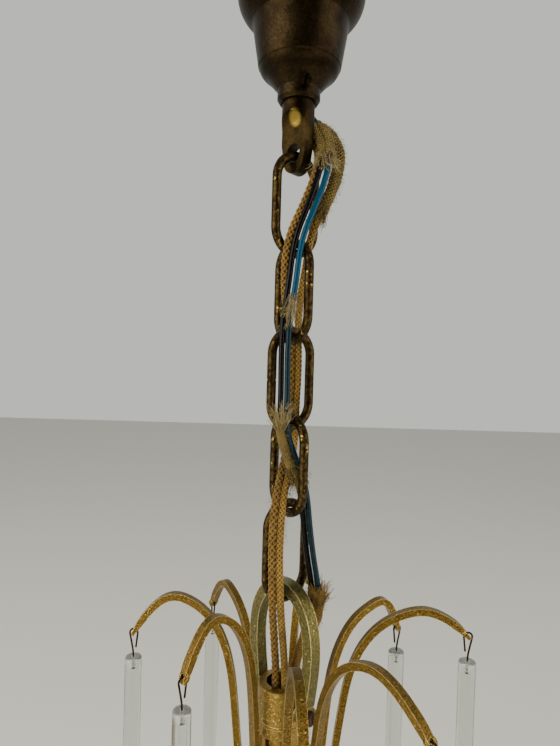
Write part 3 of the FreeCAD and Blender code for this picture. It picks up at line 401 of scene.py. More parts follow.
# %% Finishes on the hard parts
SLOTS = {part["node"]: part["material_slot"] for part in frame["record"]["subparts"]}
for name, node in NODES.items():
    finish = SPECIAL_FINISHES.get(name, FINISHES.get(SLOTS[name]))
    if finish is None:
        continue
    node.data.materials.clear()
    node.data.materials.append(finish)
print("slots:", sorted(set(SLOTS.values())))

# %% [markdown]
# ## The routes of the four wires
# Two wires keep their woven cotton covers and two have lost theirs, down to black and teal
# plastic. All four run from the terminal block, down inside the threaded rod, out of its side,
# through the links and into the stem. Each route is a list of points in millimetres, drawn as
# one smooth open spline.

# %% Routes
ROUTES = {
    "braided_wire_left": [
        (10.1, 8.4, -21.5), (10.0, 8.3, -29.5), (4.7, 4.8, -37.0), (-2.4, 1.0, -45.5),
        (-2.8, 0.9, -54.5), (-2.9, 0.9, -64.6), (4.2, 5.7, -73.3), (8.4, 2.4, -80.5),
        (8.2, -2.6, -89.2), (5.4, -4.9, -98.0), (1.9, -6.2, -107.0), (-1.6, -7.0, -115.0),
        (-3.3, -7.2, -123.0), (-3.7, -5.8, -131.5), (-3.2, -1.2, -141.0), (-1.2, 4.6, -149.5),
        (0.0, 7.1, -158.0), (0.3, 6.7, -171.0), (-0.2, 7.1, -183.0), (-0.1, 6.6, -193.0),
        (-0.8, 4.6, -201.0), (-2.7, -0.8, -210.0), (-4.6, -6.2, -218.5), (-5.5, -8.5, -228.0),
        (-5.6, -8.6, -240.0), (-5.2, -8.4, -252.0), (-4.7, -7.9, -264.0), (-3.7, -6.0, -276.0),
        (-2.8, -3.7, -288.0), (-2.6, -2.6, -301.0), (-2.9, -2.4, -320.0), (-2.3, -2.2, -342.0),
        (-1.8, -1.9, -364.0), (-1.6, -1.6, -384.0), (-1.6, -1.6, -402.5),
    ],
    "braided_wire_right": [
        (8.2, 11.5, -21.5), (8.2, 11.3, -31.5), (5.0, 6.2, -40.2), (0.8, 2.7, -47.7),
        (0.9, 2.7, -56.0), (0.9, 2.7, -65.2), (4.8, 4.4, -69.5), (13.2, 5.2, -72.6),
        (17.2, 1.9, -81.5), (15.9, -0.6, -92.5), (12.2, -1.6, -102.0), (8.6, -1.2, -110.0),
        (5.9, -0.9, -117.0), (5.2, -0.5, -124.5), (4.0, 1.6, -132.5), (2.8, 4.2, -141.0),
        (2.6, 6.4, -149.5), (2.8, 7.1, -158.0), (3.1, 6.9, -171.0), (2.6, 7.3, -183.0),
        (2.7, 6.8, -193.0), (2.1, 4.4, -201.0), (0.1, -0.8, -210.0), (-1.7, -5.8, -218.5),
        (-2.5, -8.1, -228.0), (-2.8, -8.3, -240.0), (-2.2, -8.4, -252.0), (-1.5, -7.6, -264.0),
        (-0.3, -6.0, -276.0), (0.8, -4.4, -288.0), (1.3, -3.5, -301.0), (1.9, -2.9, -320.0),
        (1.9, -2.4, -342.0), (1.5, -1.9, -364.0), (1.6, -1.6, -384.0), (1.6, -1.6, -402.5),
    ],
    "black_wire": [
        (12.0, 5.4, -21.5), (12.0, 5.4, -30.0), (6.3, 2.2, -37.0), (-0.3, -2.7, -46.0),
        (-0.5, -2.8, -54.5), (-0.6, -2.9, -64.6), (6.9, 1.2, -73.3), (10.3, -0.9, -80.6),
        (9.4, -5.2, -89.0), (7.0, -7.2, -98.0), (4.0, -8.2, -107.0), (1.0, -8.7, -115.0),
        (-0.8, -8.7, -123.0), (-2.0, -8.6, -136.0), (-3.8, -7.7, -149.0), (-4.1, -7.4, -162.0),
        (-3.8, -7.6, -177.5), (-3.9, -7.4, -192.0), (-1.2, -4.9, -201.5), (2.6, -1.9, -210.5),
        (5.4, -0.5, -219.0), (6.8, 0.0, -231.0), (8.4, -0.2, -243.0), (10.7, -0.2, -254.5),
        (11.3, 0.9, -264.0), (9.2, 1.1, -274.0), (6.5, 0.8, -283.0), (4.2, -0.5, -292.0),
        (3.6, -0.8, -302.0), (3.5, 0.9, -320.0), (2.8, 1.9, -342.0), (1.9, 1.8, -364.0),
        (1.6, 1.6, -384.0), (1.6, 1.6, -402.5),
    ],
    "teal_wire": [
        (13.9, 2.3, -21.5), (13.7, 2.4, -31.5), (7.5, 1.6, -39.5), (2.9, -0.4, -47.5),
        (2.8, -0.4, -56.0), (2.9, -0.4, -65.1), (6.3, 2.1, -69.3), (12.7, 0.4, -75.5),
        (12.8, -4.2, -86.0), (10.3, -6.6, -97.5), (6.9, -8.6, -107.0), (3.7, -9.3, -115.0),
        (1.8, -8.8, -123.0), (0.7, -9.1, -136.0), (-1.2, -8.8, -149.0), (-1.7, -8.0, -162.0),
        (-1.4, -8.2, -177.5), (-1.4, -7.9, -191.0), (1.5, -5.1, -200.5), (5.4, -2.5, -209.5),
        (7.9, -1.6, -219.0), (9.2, -1.2, -231.0), (10.9, -1.6, -243.0), (13.2, -1.7, -254.5),
        (13.9, -0.2, -263.5), (12.0, 2.4, -273.5), (7.9, 3.7, -282.5), (4.1, 3.5, -291.5),
        (2.6, 2.9, -302.0), (0.4, 3.6, -320.0), (-1.1, 2.9, -342.0), (-1.5, 2.0, -364.0),
        (-1.6, 1.6, -384.0), (-1.6, 1.6, -402.5),
    ],
}


def centreline(name, points):
    """The spline's own points, in metres, closely spaced."""
    curve = bpy.data.curves.new(name + "_route", "CURVE")
    curve.dimensions = "3D"
    spline = curve.splines.new("NURBS")
    spline.points.add(len(points) - 1)
    for made, point in zip(spline.points, points):
        made.co = (*[v * MM for v in point], 1.0)
    spline.order_u = 3
    spline.use_endpoint_u = True
    spline.resolution_u = 10
    route = bpy.data.objects.new(name + "_route", curve)
    bpy.context.collection.objects.link(route)
    bpy.context.view_layer.update()
    mesh = bpy.data.meshes.new_from_object(route.evaluated_get(
        bpy.context.evaluated_depsgraph_get()))
    line = [v.co.copy() for v in mesh.vertices]
    bpy.data.objects.remove(route)
    bpy.data.meshes.remove(mesh)
    return line if line[0].z > line[-1].z else line[::-1]


LINES = {name: centreline(name, points) for name, points in ROUTES.items()}


def run_length(line):
    return sum((b - a).length for a, b in zip(line, line[1:]))


for name, line in LINES.items():
    print(name, "is", round(run_length(line) / MM, 1), "mm long")

# %% [markdown]
# ## Where the wires bend
# Wires follow the chain, so each one is cut half way between two pivots and every stretch
# bends across a single joint. Neighbouring stretches share the body between them, so the cuts
# never open.

# %% Joints down the chain
CHAIN = ["ceiling", "link_1", "link_2", "link_3", "link_4", "link_5", "bail", "stem"]
PIVOTS = []
for above, below in zip(CHAIN, CHAIN[1:]):
    joint = next(j for j in frame["record"]["behaviour"]["joints"]
                 if (j["parent"], j["child"]) == (above, below))
    PIVOTS.append(joint["pos_m"][2])
CUTS = [(a + b) / 2 for a, b in zip(PIVOTS, PIVOTS[1:])]
BEND_REACH = 11.0 * MM
print("cut at", [round(z / MM, 1) for z in CUTS], "mm")


def bend_across(piece, joint):
    """The piece follows the body above until just over that joint, and the one below after."""
    pivot = PIVOTS[joint]
    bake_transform(piece, CHAIN[joint], CHAIN[joint + 1], (0, 0, pivot + BEND_REACH),
             (0, 0, pivot - BEND_REACH))


def plain_mesh(name, source, tree, inputs):
    """What a Geometry Nodes tree makes of source, as a mesh of its own at the origin."""
    bpy.context.collection.objects.link(source)
    made = source.modifiers.new(tree.name, "NODES")
    made.node_group = tree
    for item in tree.interface.items_tree:
        if item.item_type == "SOCKET" and item.in_out == "INPUT" and item.name in inputs:
            made[item.identifier] = inputs[item.name]
    source.data.update()
    bpy.context.view_layer.update()
    mesh = bpy.data.meshes.new_from_object(
        source.evaluated_get(bpy.context.evaluated_depsgraph_get()),
        preserve_all_data_layers=True, depsgraph=bpy.context.evaluated_depsgraph_get())
    mesh.name = name
    bpy.data.objects.remove(source)
    return mesh


def line_object(name, line):
    mesh = bpy.data.meshes.new(name)
    mesh.from_pydata(line, [(i, i + 1) for i in range(len(line) - 1)], [])
    return bpy.data.objects.new(name, mesh)


def stand(name, mesh):
    piece = bpy.data.objects.new(name, mesh)
    bpy.context.collection.objects.link(piece)
    return piece


# %% [markdown]
# ## Cotton and plastic
# The covers are braided cotton yarn, once gold and now stained brown, with a grain of about a
# quarter of a millimetre. The plastic under them is PVC, softer and glossier, and dusty.

# %% Cotton
def cotton(name, light, dark, stain):
    """Yarn with a fine grain, with painted shade where it dips under its neighbours and at fibre roots."""
    material, tree, shader = new_material(name)
    place = add(tree, "ShaderNodeTexCoord").outputs["Object"]
    painted_yarn_shade = add(tree, "ShaderNodeAttribute", attribute_name="lift").outputs["Fac"]
    # painted shade: the dark colour is where a yarn dips under its neighbours, on the core between yarns and
    # at fibre roots
    tone = mixed(tree, painted_yarn_shade, colour(dark), colour(light))
    tone_shift = patches(tree, place, 6.0, 0.40, 0.66, 5.0)
    tone = mixed(tree, tone_shift, tone, mixed(tree, 0.6, tone, colour(stain)))
    flecks = patches(tree, place, 0.35, 0.45, 0.7, 2.0)
    tone = mixed(tree, flecks, tone, mixed(tree, 0.35, tone, colour(light)))
    tree.links.new(tone, shader.inputs["Base Color"])
    shader.inputs["Roughness"].default_value = 0.85
    shader.inputs["Sheen Weight"].default_value = 0.08
    shader.inputs["Sheen Roughness"].default_value = 0.5
    relief(tree, shader, place, 0.25, 0.12, 0.7)
    return material


# the second colour of each is painted shade
BROWN_COTTON = cotton("brown cotton braid", "#8d6a20", "#1c1002", "#432c06")
GOLD_COTTON = cotton("gold cotton braid", "#a38030", "#261803", "#553c0d")
GREY_COTTON = cotton("faded cotton braid", "#85702f", "#261a07", "#443210")
PALE_COTTON = cotton("bleached cotton lint", "#b09e68", "#54431c", "#75602f")


# %% PVC
UPPER_TONE_ABOVE, LOWER_TONE_BELOW = -136 * MM, -152 * MM


def soft_plastic(name, body, dusty, lower_tone, roughness):
    """PVC, one tone at its top end and a second from below the second link, darker for the teal."""
    material, tree, shader = new_material(name)
    place = add(tree, "ShaderNodeTexCoord").outputs["Object"]
    dust = patches(tree, place, 3.0, 0.5, 0.8, 5.0)
    height = add(tree, "ShaderNodeSeparateXYZ", {0: place})
    # darker towards the bottom: below the second link the body blends into the second tone
    tone_shift = add(tree, "ShaderNodeMapRange", {"Value": height.outputs["Z"],
                                             "From Min": UPPER_TONE_ABOVE, "From Max": LOWER_TONE_BELOW})
    tone = mixed(tree, tone_shift.outputs[0], colour(body), colour(lower_tone))
    tree.links.new(mixed(tree, dust, tone, colour(dusty)), shader.inputs["Base Color"])
    dull = add(tree, "ShaderNodeMapRange",
               {"Value": dust, "To Min": roughness, "To Max": roughness + 0.25})
    tree.links.new(dull.outputs[0], shader.inputs["Roughness"])
    shader.inputs["IOR"].default_value = 1.50
    shader.inputs["Specular IOR Level"].default_value = 0.16
    relief(tree, shader, place, 2.5, 0.10, 0.5)
    return material


BLACK_PVC = soft_plastic("black PVC", "#020202", "#060503", "#030302", 0.27)
TEAL_PVC = soft_plastic("teal PVC", "#034059", "#082f38", "#04202a", 0.22)
print("cotton and PVC ready")

# %% [markdown]
# ## A braided cover
# A maypole braid has yarns that spiral both ways and pass over and under each other. For each
# yarn the tree copies the wire's line, winds it round at a steady pitch, and lifts it in a
# wave that is opposite for the two directions, so that crossings lock. The same tree then
# gives the plain core inside.

# %% Braid tree
def braid_tree():
    tree = bpy.data.node_groups.new("braid over a line", "GeometryNodeTree")
    face = tree.interface
    face.new_socket("Line", in_out="INPUT", socket_type="NodeSocketGeometry")
    face.new_socket("Pairs Of Yarns", in_out="INPUT", socket_type="NodeSocketInt")
    for name in ("Pitch", "Cover Radius", "Yarn Radius", "Wave", "Step", "Core Radius", "Slack"):
        face.new_socket(name, in_out="INPUT", socket_type="NodeSocketFloat")
    face.new_socket("Finish", in_out="INPUT", socket_type="NodeSocketMaterial")
    face.new_socket("Geometry", in_out="OUTPUT", socket_type="NodeSocketGeometry")
    given = add(tree, "NodeGroupInput").outputs

    def math_node(operation, a, b=0.0):
        return add(tree, "ShaderNodeMath", {0: a, 1: b}, operation=operation).outputs[0]

    curve = add(tree, "GeometryNodeMeshToCurve", {"Mesh": given["Line"]})
    even = add(tree, "GeometryNodeResampleCurve",
               {"Curve": curve.outputs[0], "Length": given["Step"]}, mode="LENGTH")
    along = add(tree, "GeometryNodeSplineParameter").outputs["Length"]
    marked = add(tree, "GeometryNodeStoreNamedAttribute",
                 {"Geometry": even.outputs[0], "Name": "run", "Value": along},
                 data_type="FLOAT", domain="POINT")
    count = math_node("MULTIPLY", given["Pairs Of Yarns"], 2.0)
    copies = add(tree, "GeometryNodeDuplicateElements",
                 {"Geometry": marked.outputs[0], "Amount": count}, domain="SPLINE")
    number = copies.outputs["Duplicate Index"]
    way = math_node("SUBTRACT", 1.0, math_node("MULTIPLY", 2.0, math_node("MODULO", number, 2.0)))
    pair = math_node("FLOOR", math_node("DIVIDE", number, 2.0))
    turn = math_node("DIVIDE", math_node("MULTIPLY", along, math.tau), given["Pitch"])
    share = math_node("DIVIDE", math_node("MULTIPLY", pair, math.tau), given["Pairs Of Yarns"])
    angle = math_node("ADD", math_node("MULTIPLY", way, turn), share)
    beat = math_node("MULTIPLY", turn, given["Pairs Of Yarns"])
    lift = math_node("MULTIPLY", way, math_node("COSINE", beat))
    place = add(tree, "GeometryNodeInputPosition").outputs[0]
    loose = add(tree, "ShaderNodeTexNoise", {"Vector": place, "Scale": 220.0, "Detail": 2.0})
    sag = math_node("MULTIPLY", math_node("SUBTRACT", loose.outputs[0], 0.5), given["Slack"])
    radius = math_node("ADD", math_node("ADD", given["Cover Radius"], sag),
                       math_node("MULTIPLY", lift, given["Wave"]))
    normal = add(tree, "GeometryNodeInputNormal").outputs[0]
    tangent = add(tree, "GeometryNodeInputTangent").outputs[0]
    side = add(tree, "ShaderNodeVectorMath", {0: tangent, 1: normal},
               operation="CROSS_PRODUCT").outputs[0]
    first = add(tree, "ShaderNodeVectorMath",
                {0: normal, "Scale": math_node("MULTIPLY", math_node("COSINE", angle), radius)},
                operation="SCALE").outputs[0]
    second = add(tree, "ShaderNodeVectorMath",
                 {0: side, "Scale": math_node("MULTIPLY", math_node("SINE", angle), radius)},
                 operation="SCALE").outputs[0]
    offset = add(tree, "ShaderNodeVectorMath", {0: first, 1: second}, operation="ADD").outputs[0]
    # painted shade: low where a yarn dips under its neighbours; the core, left without it, takes the dark
    # colour as shade between the yarns
    height = add(tree, "ShaderNodeMapRange", {"Value": lift, "From Min": -1.0, "From Max": 0.8})
    with_painted_shade = add(tree, "GeometryNodeStoreNamedAttribute",
                {"Geometry": copies.outputs[0], "Name": "lift", "Value": height.outputs[0]},
                data_type="FLOAT", domain="POINT")
    wound = add(tree, "GeometryNodeSetPosition",
                {"Geometry": with_painted_shade.outputs[0], "Offset": offset})
    ring = add(tree, "GeometryNodeCurvePrimitiveCircle",
               {"Resolution": 6, "Radius": given["Yarn Radius"]})
    yarns = add(tree, "GeometryNodeCurveToMesh",
                {"Curve": wound.outputs[0], "Profile Curve": ring.outputs[0], "Fill Caps": True})
    core_ring = add(tree, "GeometryNodeCurvePrimitiveCircle",
                    {"Resolution": 16, "Radius": given["Core Radius"]})
    core = add(tree, "GeometryNodeCurveToMesh",
               {"Curve": marked.outputs[0], "Profile Curve": core_ring.outputs[0],
                "Fill Caps": True})
    both = add(tree, "GeometryNodeJoinGeometry")
    tree.links.new(yarns.outputs[0], both.inputs[0])
    tree.links.new(core.outputs[0], both.inputs[0])
    smooth = add(tree, "GeometryNodeSetShadeSmooth",
                 {"Geometry": both.outputs[0], "Shade Smooth": True})
    single = add(tree, "GeometryNodeRealizeInstances", {"Geometry": smooth.outputs[0]})
    done = add(tree, "GeometryNodeSetMaterial",
               {"Geometry": single.outputs[0], "Material": given["Finish"]})
    add(tree, "NodeGroupOutput", {0: done.outputs[0]})
    return tree


BRAID = braid_tree()

# %% [markdown]
# ## Frayed cotton
# Where a cover has worn through, its yarns open into a brush of fine fibres, and the cotton
# beside it is fuzzy. One tree makes both: it roots fibres round a line, aims each between
# straight on and straight out, and curls it with noise that grows towards its tip.

# %% Fray tree
def fray_tree():
    tree = bpy.data.node_groups.new("fibres round a line", "GeometryNodeTree")
    face = tree.interface
    face.new_socket("Line", in_out="INPUT", socket_type="NodeSocketGeometry")
    for name in ("Fibres", "Seed"):
        face.new_socket(name, in_out="INPUT", socket_type="NodeSocketInt")
    for name in ("Root Radius", "Onward", "Outward", "Shortest", "Longest", "Curl", "Thickness"):
        face.new_socket(name, in_out="INPUT", socket_type="NodeSocketFloat")
    face.new_socket("Finish", in_out="INPUT", socket_type="NodeSocketMaterial")
    face.new_socket("Geometry", in_out="OUTPUT", socket_type="NodeSocketGeometry")
    given = add(tree, "NodeGroupInput").outputs

    def chance(low_end, high_end, salt):
        seed = add(tree, "ShaderNodeMath", {0: given["Seed"], 1: float(salt)}).outputs[0]
        made = add(tree, "FunctionNodeRandomValue", data_type="FLOAT")
        for key, value in (("Min", low_end), ("Max", high_end), ("Seed", seed)):
            socket = next(i for i in made.inputs if i.name == key and i.enabled)
            if isinstance(value, bpy.types.NodeSocket):
                tree.links.new(value, socket)
            else:
                socket.default_value = value
        return next(o for o in made.outputs if o.enabled)

    def scaled(vector, factor):
        return add(tree, "ShaderNodeVectorMath", {0: vector, "Scale": factor},
                   operation="SCALE").outputs[0]

    def summed(first, second):
        return add(tree, "ShaderNodeVectorMath", {0: first, 1: second}).outputs[0]

    def trig(operation, angle):
        return add(tree, "ShaderNodeMath", {0: angle}, operation=operation).outputs[0]

    curve = add(tree, "GeometryNodeMeshToCurve", {"Mesh": given["Line"]})
    roots = add(tree, "GeometryNodeCurveToPoints",
                {"Curve": curve.outputs[0], "Count": given["Fibres"]}, mode="COUNT")
    tangent, normal = roots.outputs["Tangent"], roots.outputs["Normal"]
    side = add(tree, "ShaderNodeVectorMath", {0: tangent, 1: normal},
               operation="CROSS_PRODUCT").outputs[0]
    angle = chance(0.0, math.tau, 1)
    outward = summed(scaled(normal, trig("COSINE", angle)), scaled(side, trig("SINE", angle)))
    placed = add(tree, "GeometryNodeSetPosition",
                 {"Geometry": roots.outputs[0], "Offset": scaled(outward, given["Root Radius"])})
    onward = scaled(tangent, given["Onward"])
    spread = add(tree, "ShaderNodeMath", {0: given["Outward"], 1: chance(0.15, 1.0, 2)},
                 operation="MULTIPLY").outputs[0]
    aim = add(tree, "FunctionNodeAlignRotationToVector",
              {"Vector": summed(onward, scaled(outward, spread))}, axis="Z")
    strand = add(tree, "GeometryNodeCurvePrimitiveLine", {"Start": (0, 0, 0), "End": (0, 0, 1)})
    steps = add(tree, "GeometryNodeResampleCurve", {"Curve": strand.outputs[0], "Count": 9})
    fibres = add(tree, "GeometryNodeInstanceOnPoints",
                 {"Points": placed.outputs[0], "Instance": steps.outputs[0],
                  "Rotation": aim.outputs[0],
                  "Scale": chance(given["Shortest"], given["Longest"], 3)})
    real = add(tree, "GeometryNodeRealizeInstances", {"Geometry": fibres.outputs[0]})
    place = add(tree, "GeometryNodeInputPosition").outputs[0]
    noise = add(tree, "ShaderNodeTexNoise", {"Vector": place, "Scale": 260.0, "Detail": 2.0})
    centred = summed(noise.outputs["Color"], (-0.5, -0.5, -0.5))
    tip = add(tree, "GeometryNodeSplineParameter").outputs["Factor"]
    reach = add(tree, "ShaderNodeMath", {0: tip, 1: given["Curl"]}, operation="MULTIPLY")
    curled = add(tree, "GeometryNodeSetPosition",
                 {"Geometry": real.outputs[0], "Offset": scaled(centred, reach.outputs[0])})
    # painted shade: fibres darker at their roots, lighter towards the tips
    shade = add(tree, "ShaderNodeMapRange", {"Value": tip, "To Min": 0.35, "To Max": 1.0})
    with_painted_shade = add(tree, "GeometryNodeStoreNamedAttribute",
                {"Geometry": curled.outputs[0], "Name": "lift", "Value": shade.outputs[0]},
                data_type="FLOAT", domain="POINT")
    ring = add(tree, "GeometryNodeCurvePrimitiveCircle",
               {"Resolution": 3, "Radius": given["Thickness"]})
    tubes = add(tree, "GeometryNodeCurveToMesh",
                {"Curve": with_painted_shade.outputs[0], "Profile Curve": ring.outputs[0], "Fill Caps": True})
    done = add(tree, "GeometryNodeSetMaterial",
               {"Geometry": tubes.outputs[0], "Material": given["Finish"]})
    add(tree, "NodeGroupOutput", {0: done.outputs[0]})
    return tree


FRAY = fray_tree()
print("fray tree has", len(FRAY.nodes), "nodes")

# %% [markdown]
# ## Cutting a wire at the joints
# The whole wire is wound first, so that its pattern runs on, and only then cut. Every ring of
# points knows how far along the wire it lies, which makes the cuts clean.

# %% Cut and declare
STEP = 0.35 * MM


def run_at(line, height):
    """How far along the line it first drops below a height."""
    run = 0.0
    for a, b in zip(line, line[1:]):
        if b.z < height:
            return run + (b - a).length * (a.z - height) / (a.z - b.z)
        run += (b - a).length
    return run


def cut_out(mesh, start, end):
    """A copy of the mesh with only the faces that lie between two runs along the wire."""
    shape = bmesh.new()
    shape.from_mesh(mesh)
    layer = shape.verts.layers.float["run"]
    outside = []
    for face in shape.faces:
        run = sum(v[layer] for v in face.verts) / len(face.verts)
        if not start <= run < end:
            outside.append(face)
    bmesh.ops.delete(shape, geom=outside, context="FACES")
    part = mesh.copy()
    shape.to_mesh(part)
    shape.free()
    return part


def between(line, start, end):
    """The points of a line between two runs, both ends included."""
    points, run = [], 0.0
    for a, b in zip(line, line[1:]):
        step = (b - a).length
        for run_here in (start, end):
            if run < run_here < run + step:
                points.append(a.lerp(b, (run_here - run) / step))
        if start <= run + step <= end:
            points.append(b)
        run += step
    if start <= 0:
        points.insert(0, line[0])
    return points


def joint_marks(line):
    """The runs at which a wire is cut, its two ends included."""
    return [0.0] + [round(run_at(line, z) / STEP) * STEP for z in CUTS] + [run_length(line)]


ON_WIRE = {}


def cover(name, wire, top, foot, radius, pairs, pitch, yarn, slack, finish):
    """A braided cover over a wire between two heights, in mm, cut where the wire is cut."""
    line = LINES[wire]
    start, end = run_at(line, top * MM), run_at(line, foot * MM)
    mesh = plain_mesh(name, line_object(name, between(line, start, end)), BRAID, {
        "Pairs Of Yarns": pairs, "Pitch": pitch * MM, "Cover Radius": radius * MM,
        "Yarn Radius": yarn * MM, "Wave": 0.35 * yarn * MM, "Step": STEP,
        "Core Radius": (radius - 0.6 * yarn) * MM, "Slack": slack * MM, "Finish": finish,
    })
    marks = joint_marks(line)
    for joint, (a, b) in enumerate(zip(marks, marks[1:])):
        if a < end and b > start:
            part = cut_out(mesh, a - start - (STEP if a <= start else 0),
                           b - start + (STEP if b >= end else 0))
            piece = stand(f"{name}_{joint + 1}", part)
            bend_across(piece, joint)
            ON_WIRE.setdefault((wire, joint), []).append(piece)


def fray(name, wire, top, foot, finish, upward=False, **inputs):
    """Fibres rooted round a wire between two heights, in mm. upward aims them up the wire."""
    line = LINES[wire]
    start, end = run_at(line, top * MM), run_at(line, foot * MM)
    path = between(line, start, end)
    tree_inputs = {key.replace("_", " ").title(): value for key, value in inputs.items()}
    tree_inputs["Finish"] = finish
    mesh = plain_mesh(name, line_object(name, path[::-1] if upward else path), FRAY, tree_inputs)
    joint = sum(1 for z in CUTS if (top + foot) / 2 * MM < z)
    piece = stand(name, mesh)
    bend_across(piece, joint)
    ON_WIRE.setdefault((wire, joint), []).append(piece)


def lay_wire(name, mesh):
    line = LINES[name]
    marks = joint_marks(line)
    for joint, (start, end) in enumerate(zip(marks, marks[1:])):
        last = joint == len(CUTS)
        part = cut_out(mesh, start - (STEP if joint == 0 else 0), end + (STEP if last else 0))
        piece = stand(f"{name}_{joint + 1}", part)
        path = between(line, start, end)
        bend_across(piece, joint)
        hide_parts(name)
    print(name, "laid in", len(marks) - 1, "stretches")


# %% [markdown]
# ## What is left of the covers
# The cover of the right hand wire has slipped and bunched up at the nipple. The black and teal
# wires keep short lengths only, most of them ending in a brush of fibres. The lowest lengths
# run on into the collar.

# %% Covers and frays
# name, wire, top, foot, radius, pairs of yarns, pitch, yarn radius, slack, finish; in mm
COVERS = [
    ("bunched_cover", "braided_wire_right", -71.4, -106.0, 2.05, 9, 13.0, 0.36, 1.3, GREY_COTTON),
    ("teal_cover_top", "teal_wire", -70.4, -84.5, 1.5, 7, 9.0, 0.30, 0.5, GREY_COTTON),
    ("black_cover_top", "black_wire", -71.5, -86.5, 1.5, 7, 9.0, 0.30, 0.5, GREY_COTTON),
    ("black_cover_middle", "black_wire", -188.0, -211.0, 1.7, 8, 9.0, 0.34, 0.9, GREY_COTTON),
    ("teal_cover_flare", "teal_wire", -259.0, -273.0, 2.1, 8, 11.0, 0.36, 1.2, GOLD_COTTON),
    ("teal_cover_low", "teal_wire", -270.0, -300.5, 1.55, 7, 9.0, 0.32, 0.5, BROWN_COTTON),
    ("black_cover_low", "black_wire", -266.0, -300.5, 1.55, 7, 9.0, 0.32, 0.5, BROWN_COTTON),
]
for row in COVERS:
    cover(*row)
BRUSH = {"onward": 1.0, "shortest": 2.0 * MM, "longest": 7.5 * MM, "curl": 4.0 * MM,
         "thickness": 0.065 * MM}
FUZZ = {"onward": 0.35, "outward": 1.0, "shortest": 0.7 * MM, "longest": 2.6 * MM,
        "curl": 2.2 * MM, "thickness": 0.045 * MM}
# name, wire, top, foot, finish, aimed up the wire, fibres, spread outwards, root radius; in mm
FRAYS = [
    ("bunched_end", "braided_wire_right", -101.5, -107.5, GREY_COTTON, False, 240, 0.5, 1.6),
    ("teal_top_end", "teal_wire", -81.5, -86.5, PALE_COTTON, False, 260, 0.9, 1.2),
    ("black_top_end", "black_wire", -83.0, -88.0, PALE_COTTON, False, 200, 0.9, 1.2),
    ("lint", "teal_wire", -138.5, -147.5, PALE_COTTON, False, 150, 0.7, 1.0),
    ("middle_top_end", "black_wire", -187.0, -193.0, PALE_COTTON, True, 420, 0.9, 1.5),
    ("middle_low_end", "black_wire", -205.5, -212.0, GREY_COTTON, False, 420, 0.9, 1.5),
    ("low_top_end", "teal_wire", -258.0, -263.5, GOLD_COTTON, True, 420, 0.8, 1.9),
]
for seed, (name, wire, top, foot, finish, upward, fibres, outward, root) in enumerate(FRAYS):
    fray(name, wire, top, foot, finish, upward,
         **{**BRUSH, "fibres": fibres, "seed": seed, "outward": outward, "root_radius": root * MM})
# name, wire, top, foot, finish, fibres, root radius; in mm
FUZZY = [
    ("bunched_fuzz", "braided_wire_right", -72.0, -105.0, GREY_COTTON, 700, 2.1),
    ("top_fuzz", "teal_wire", -71.0, -85.0, PALE_COTTON, 300, 1.6),
    ("black_top_fuzz", "black_wire", -73.0, -87.0, GREY_COTTON, 260, 1.6),
    ("middle_fuzz", "black_wire", -190.0, -204.0, GREY_COTTON, 220, 1.6),
    ("low_fuzz", "teal_wire", -261.0, -279.0, BROWN_COTTON, 220, 1.6),
    ("left_fuzz", "braided_wire_left", -207.0, -238.0, BROWN_COTTON, 260, 1.2),
    ("right_fuzz", "braided_wire_right", -207.0, -238.0, GOLD_COTTON, 260, 1.2),
]
for seed, (name, wire, top, foot, finish, fibres, root) in enumerate(FUZZY, start=20):
    fray(name, wire, top, foot, finish, False,
         **{**FUZZ, "fibres": fibres, "seed": seed, "root_radius": root * MM})
print(sum(len(pieces) for pieces in ON_WIRE.values()), "covers and frays on the wires")

# %% Wires with their covers on
# wire, finish, pairs of yarns, pitch, yarn radius; in mm
BRAIDED_WIRES = [
    ("braided_wire_left", BROWN_COTTON, 4, 10.0, 0.48),
    ("braided_wire_right", GOLD_COTTON, 5, 9.5, 0.40),
]
BRAID_RADIUS = 1.06 * MM
BRAID_WAVE = 0.16 * MM
BRAID_CORE = 0.95 * MM
for name, finish, pairs, pitch, yarn in BRAIDED_WIRES:
    mesh = plain_mesh(name, line_object(name, LINES[name]), BRAID, {
        "Pairs Of Yarns": pairs, "Pitch": pitch * MM, "Cover Radius": BRAID_RADIUS,
        "Yarn Radius": yarn * MM, "Wave": BRAID_WAVE, "Step": STEP,
        "Core Radius": BRAID_CORE, "Slack": 0.0, "Finish": finish,
    })
    lay_wire(name, mesh)

# %% Bare wires
# a braid of no yarns leaves only the core, so its pitch and yarn have no say here
PLAIN_DIAMETER = 2.3 * MM
for name, finish in (("black_wire", BLACK_PVC), ("teal_wire", TEAL_PVC)):
    mesh = plain_mesh(name, line_object(name, LINES[name]), BRAID, {
        "Pairs Of Yarns": 0, "Pitch": 10.0 * MM, "Cover Radius": 1.0 * MM,
        "Yarn Radius": 0.1 * MM, "Wave": 0.0, "Step": STEP, "Core Radius": PLAIN_DIAMETER / 2,
        "Slack": 0.0, "Finish": finish,
    })
    lay_wire(name, mesh)

# %% [markdown]
# ## Room and light
# A pale floor, a large soft light on each side as by windows, a weak one above, and a narrow
# strip on each side for upright lines in the glass. Polished metal shows what surrounds it, so
# the surroundings are pale in front of the camera and dim behind it, which gives the brass its
# dark side.

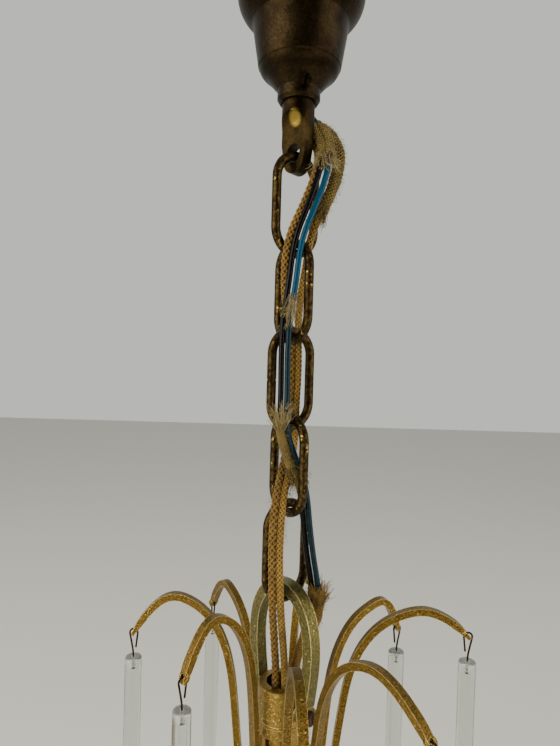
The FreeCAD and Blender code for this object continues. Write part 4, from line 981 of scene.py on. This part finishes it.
# %% Floor, light and surroundings
FLOOR_BELOW = 0.10
FLOOR_SIZE = 6.0
floor_mesh = bpy.data.meshes.new("floor")
half = FLOOR_SIZE / 2
floor_z = low[2] - FLOOR_BELOW
floor_mesh.from_pydata(
    [(-half, -half, floor_z), (half, -half, floor_z), (half, half, floor_z), (-half, half, floor_z)],
    [], [(0, 1, 2, 3)])
floor = stand("floor", floor_mesh)
floor_paint, _, floor_shader = new_material("pale floor")
floor_shader.inputs["Base Color"].default_value = colour("#e4e3dc")
floor_shader.inputs["Roughness"].default_value = 0.8
floor_shader.inputs["Emission Color"].default_value = colour("#d6d7d0")
floor_shader.inputs["Emission Strength"].default_value = 0.22
floor.data.materials.append(floor_paint)
floor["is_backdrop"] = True

world = bpy.data.worlds.new("surroundings")
bpy.context.scene.world = world
world.use_nodes = True
sky = world.node_tree
sky.nodes.clear()
direction = add(sky, "ShaderNodeTexCoord").outputs["Generated"]
parts = add(sky, "ShaderNodeSeparateXYZ", {0: direction})
ahead = add(sky, "ShaderNodeMapRange", {"Value": parts.outputs["Y"], "From Min": -0.35,
                                        "From Max": 0.7})
tint = mixed(sky, ahead.outputs[0], colour("#332d24"), colour("#d6d7d0"))
background = add(sky, "ShaderNodeBackground", {"Color": tint, "Strength": 1.0})
add(sky, "ShaderNodeOutputWorld", {0: background.outputs[0]})


WARM_WHITE = "#fffaf0"


def soft_light(name, place, aim, size, power):
    lamp = bpy.data.lights.new(name, "AREA")
    lamp.shape = "RECTANGLE"
    lamp.size, lamp.size_y = size
    lamp.energy = power
    lamp.color = colour(WARM_WHITE)[:3]
    made = bpy.data.objects.new(name, lamp)
    bpy.context.collection.objects.link(made)
    made.location = place
    made.rotation_euler = (Vector(aim) - Vector(place)).to_track_quat("-Z", "Y").to_euler()
    made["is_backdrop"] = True


MIDDLE = (0.0, 0.0, -0.22)
soft_light("left_window", (-1.1, -0.5, 0.15), MIDDLE, (0.7, 1.2), 12.0)
soft_light("right_window", (1.2, -0.2, 0.0), MIDDLE, (0.5, 1.2), 6.0)
soft_light("top_fill", (0.1, -0.6, 1.0), MIDDLE, (1.0, 1.0), 4.0)
soft_light("left_strip", (-0.62, -0.75, -0.25), MIDDLE, (0.16, 1.3), 7.0)
soft_light("right_strip", (0.75, -0.55, -0.25), MIDDLE, (0.14, 1.3), 5.0)
print("room ready")

# %% [markdown]
# ## Finish
# The box of the CAD model and the box of what is shown are kept side by side.

# %% Sizes and finish
low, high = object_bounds()
print("shown size", [round((b - a) / MM, 1) for a, b in zip(low, high)], "mm")
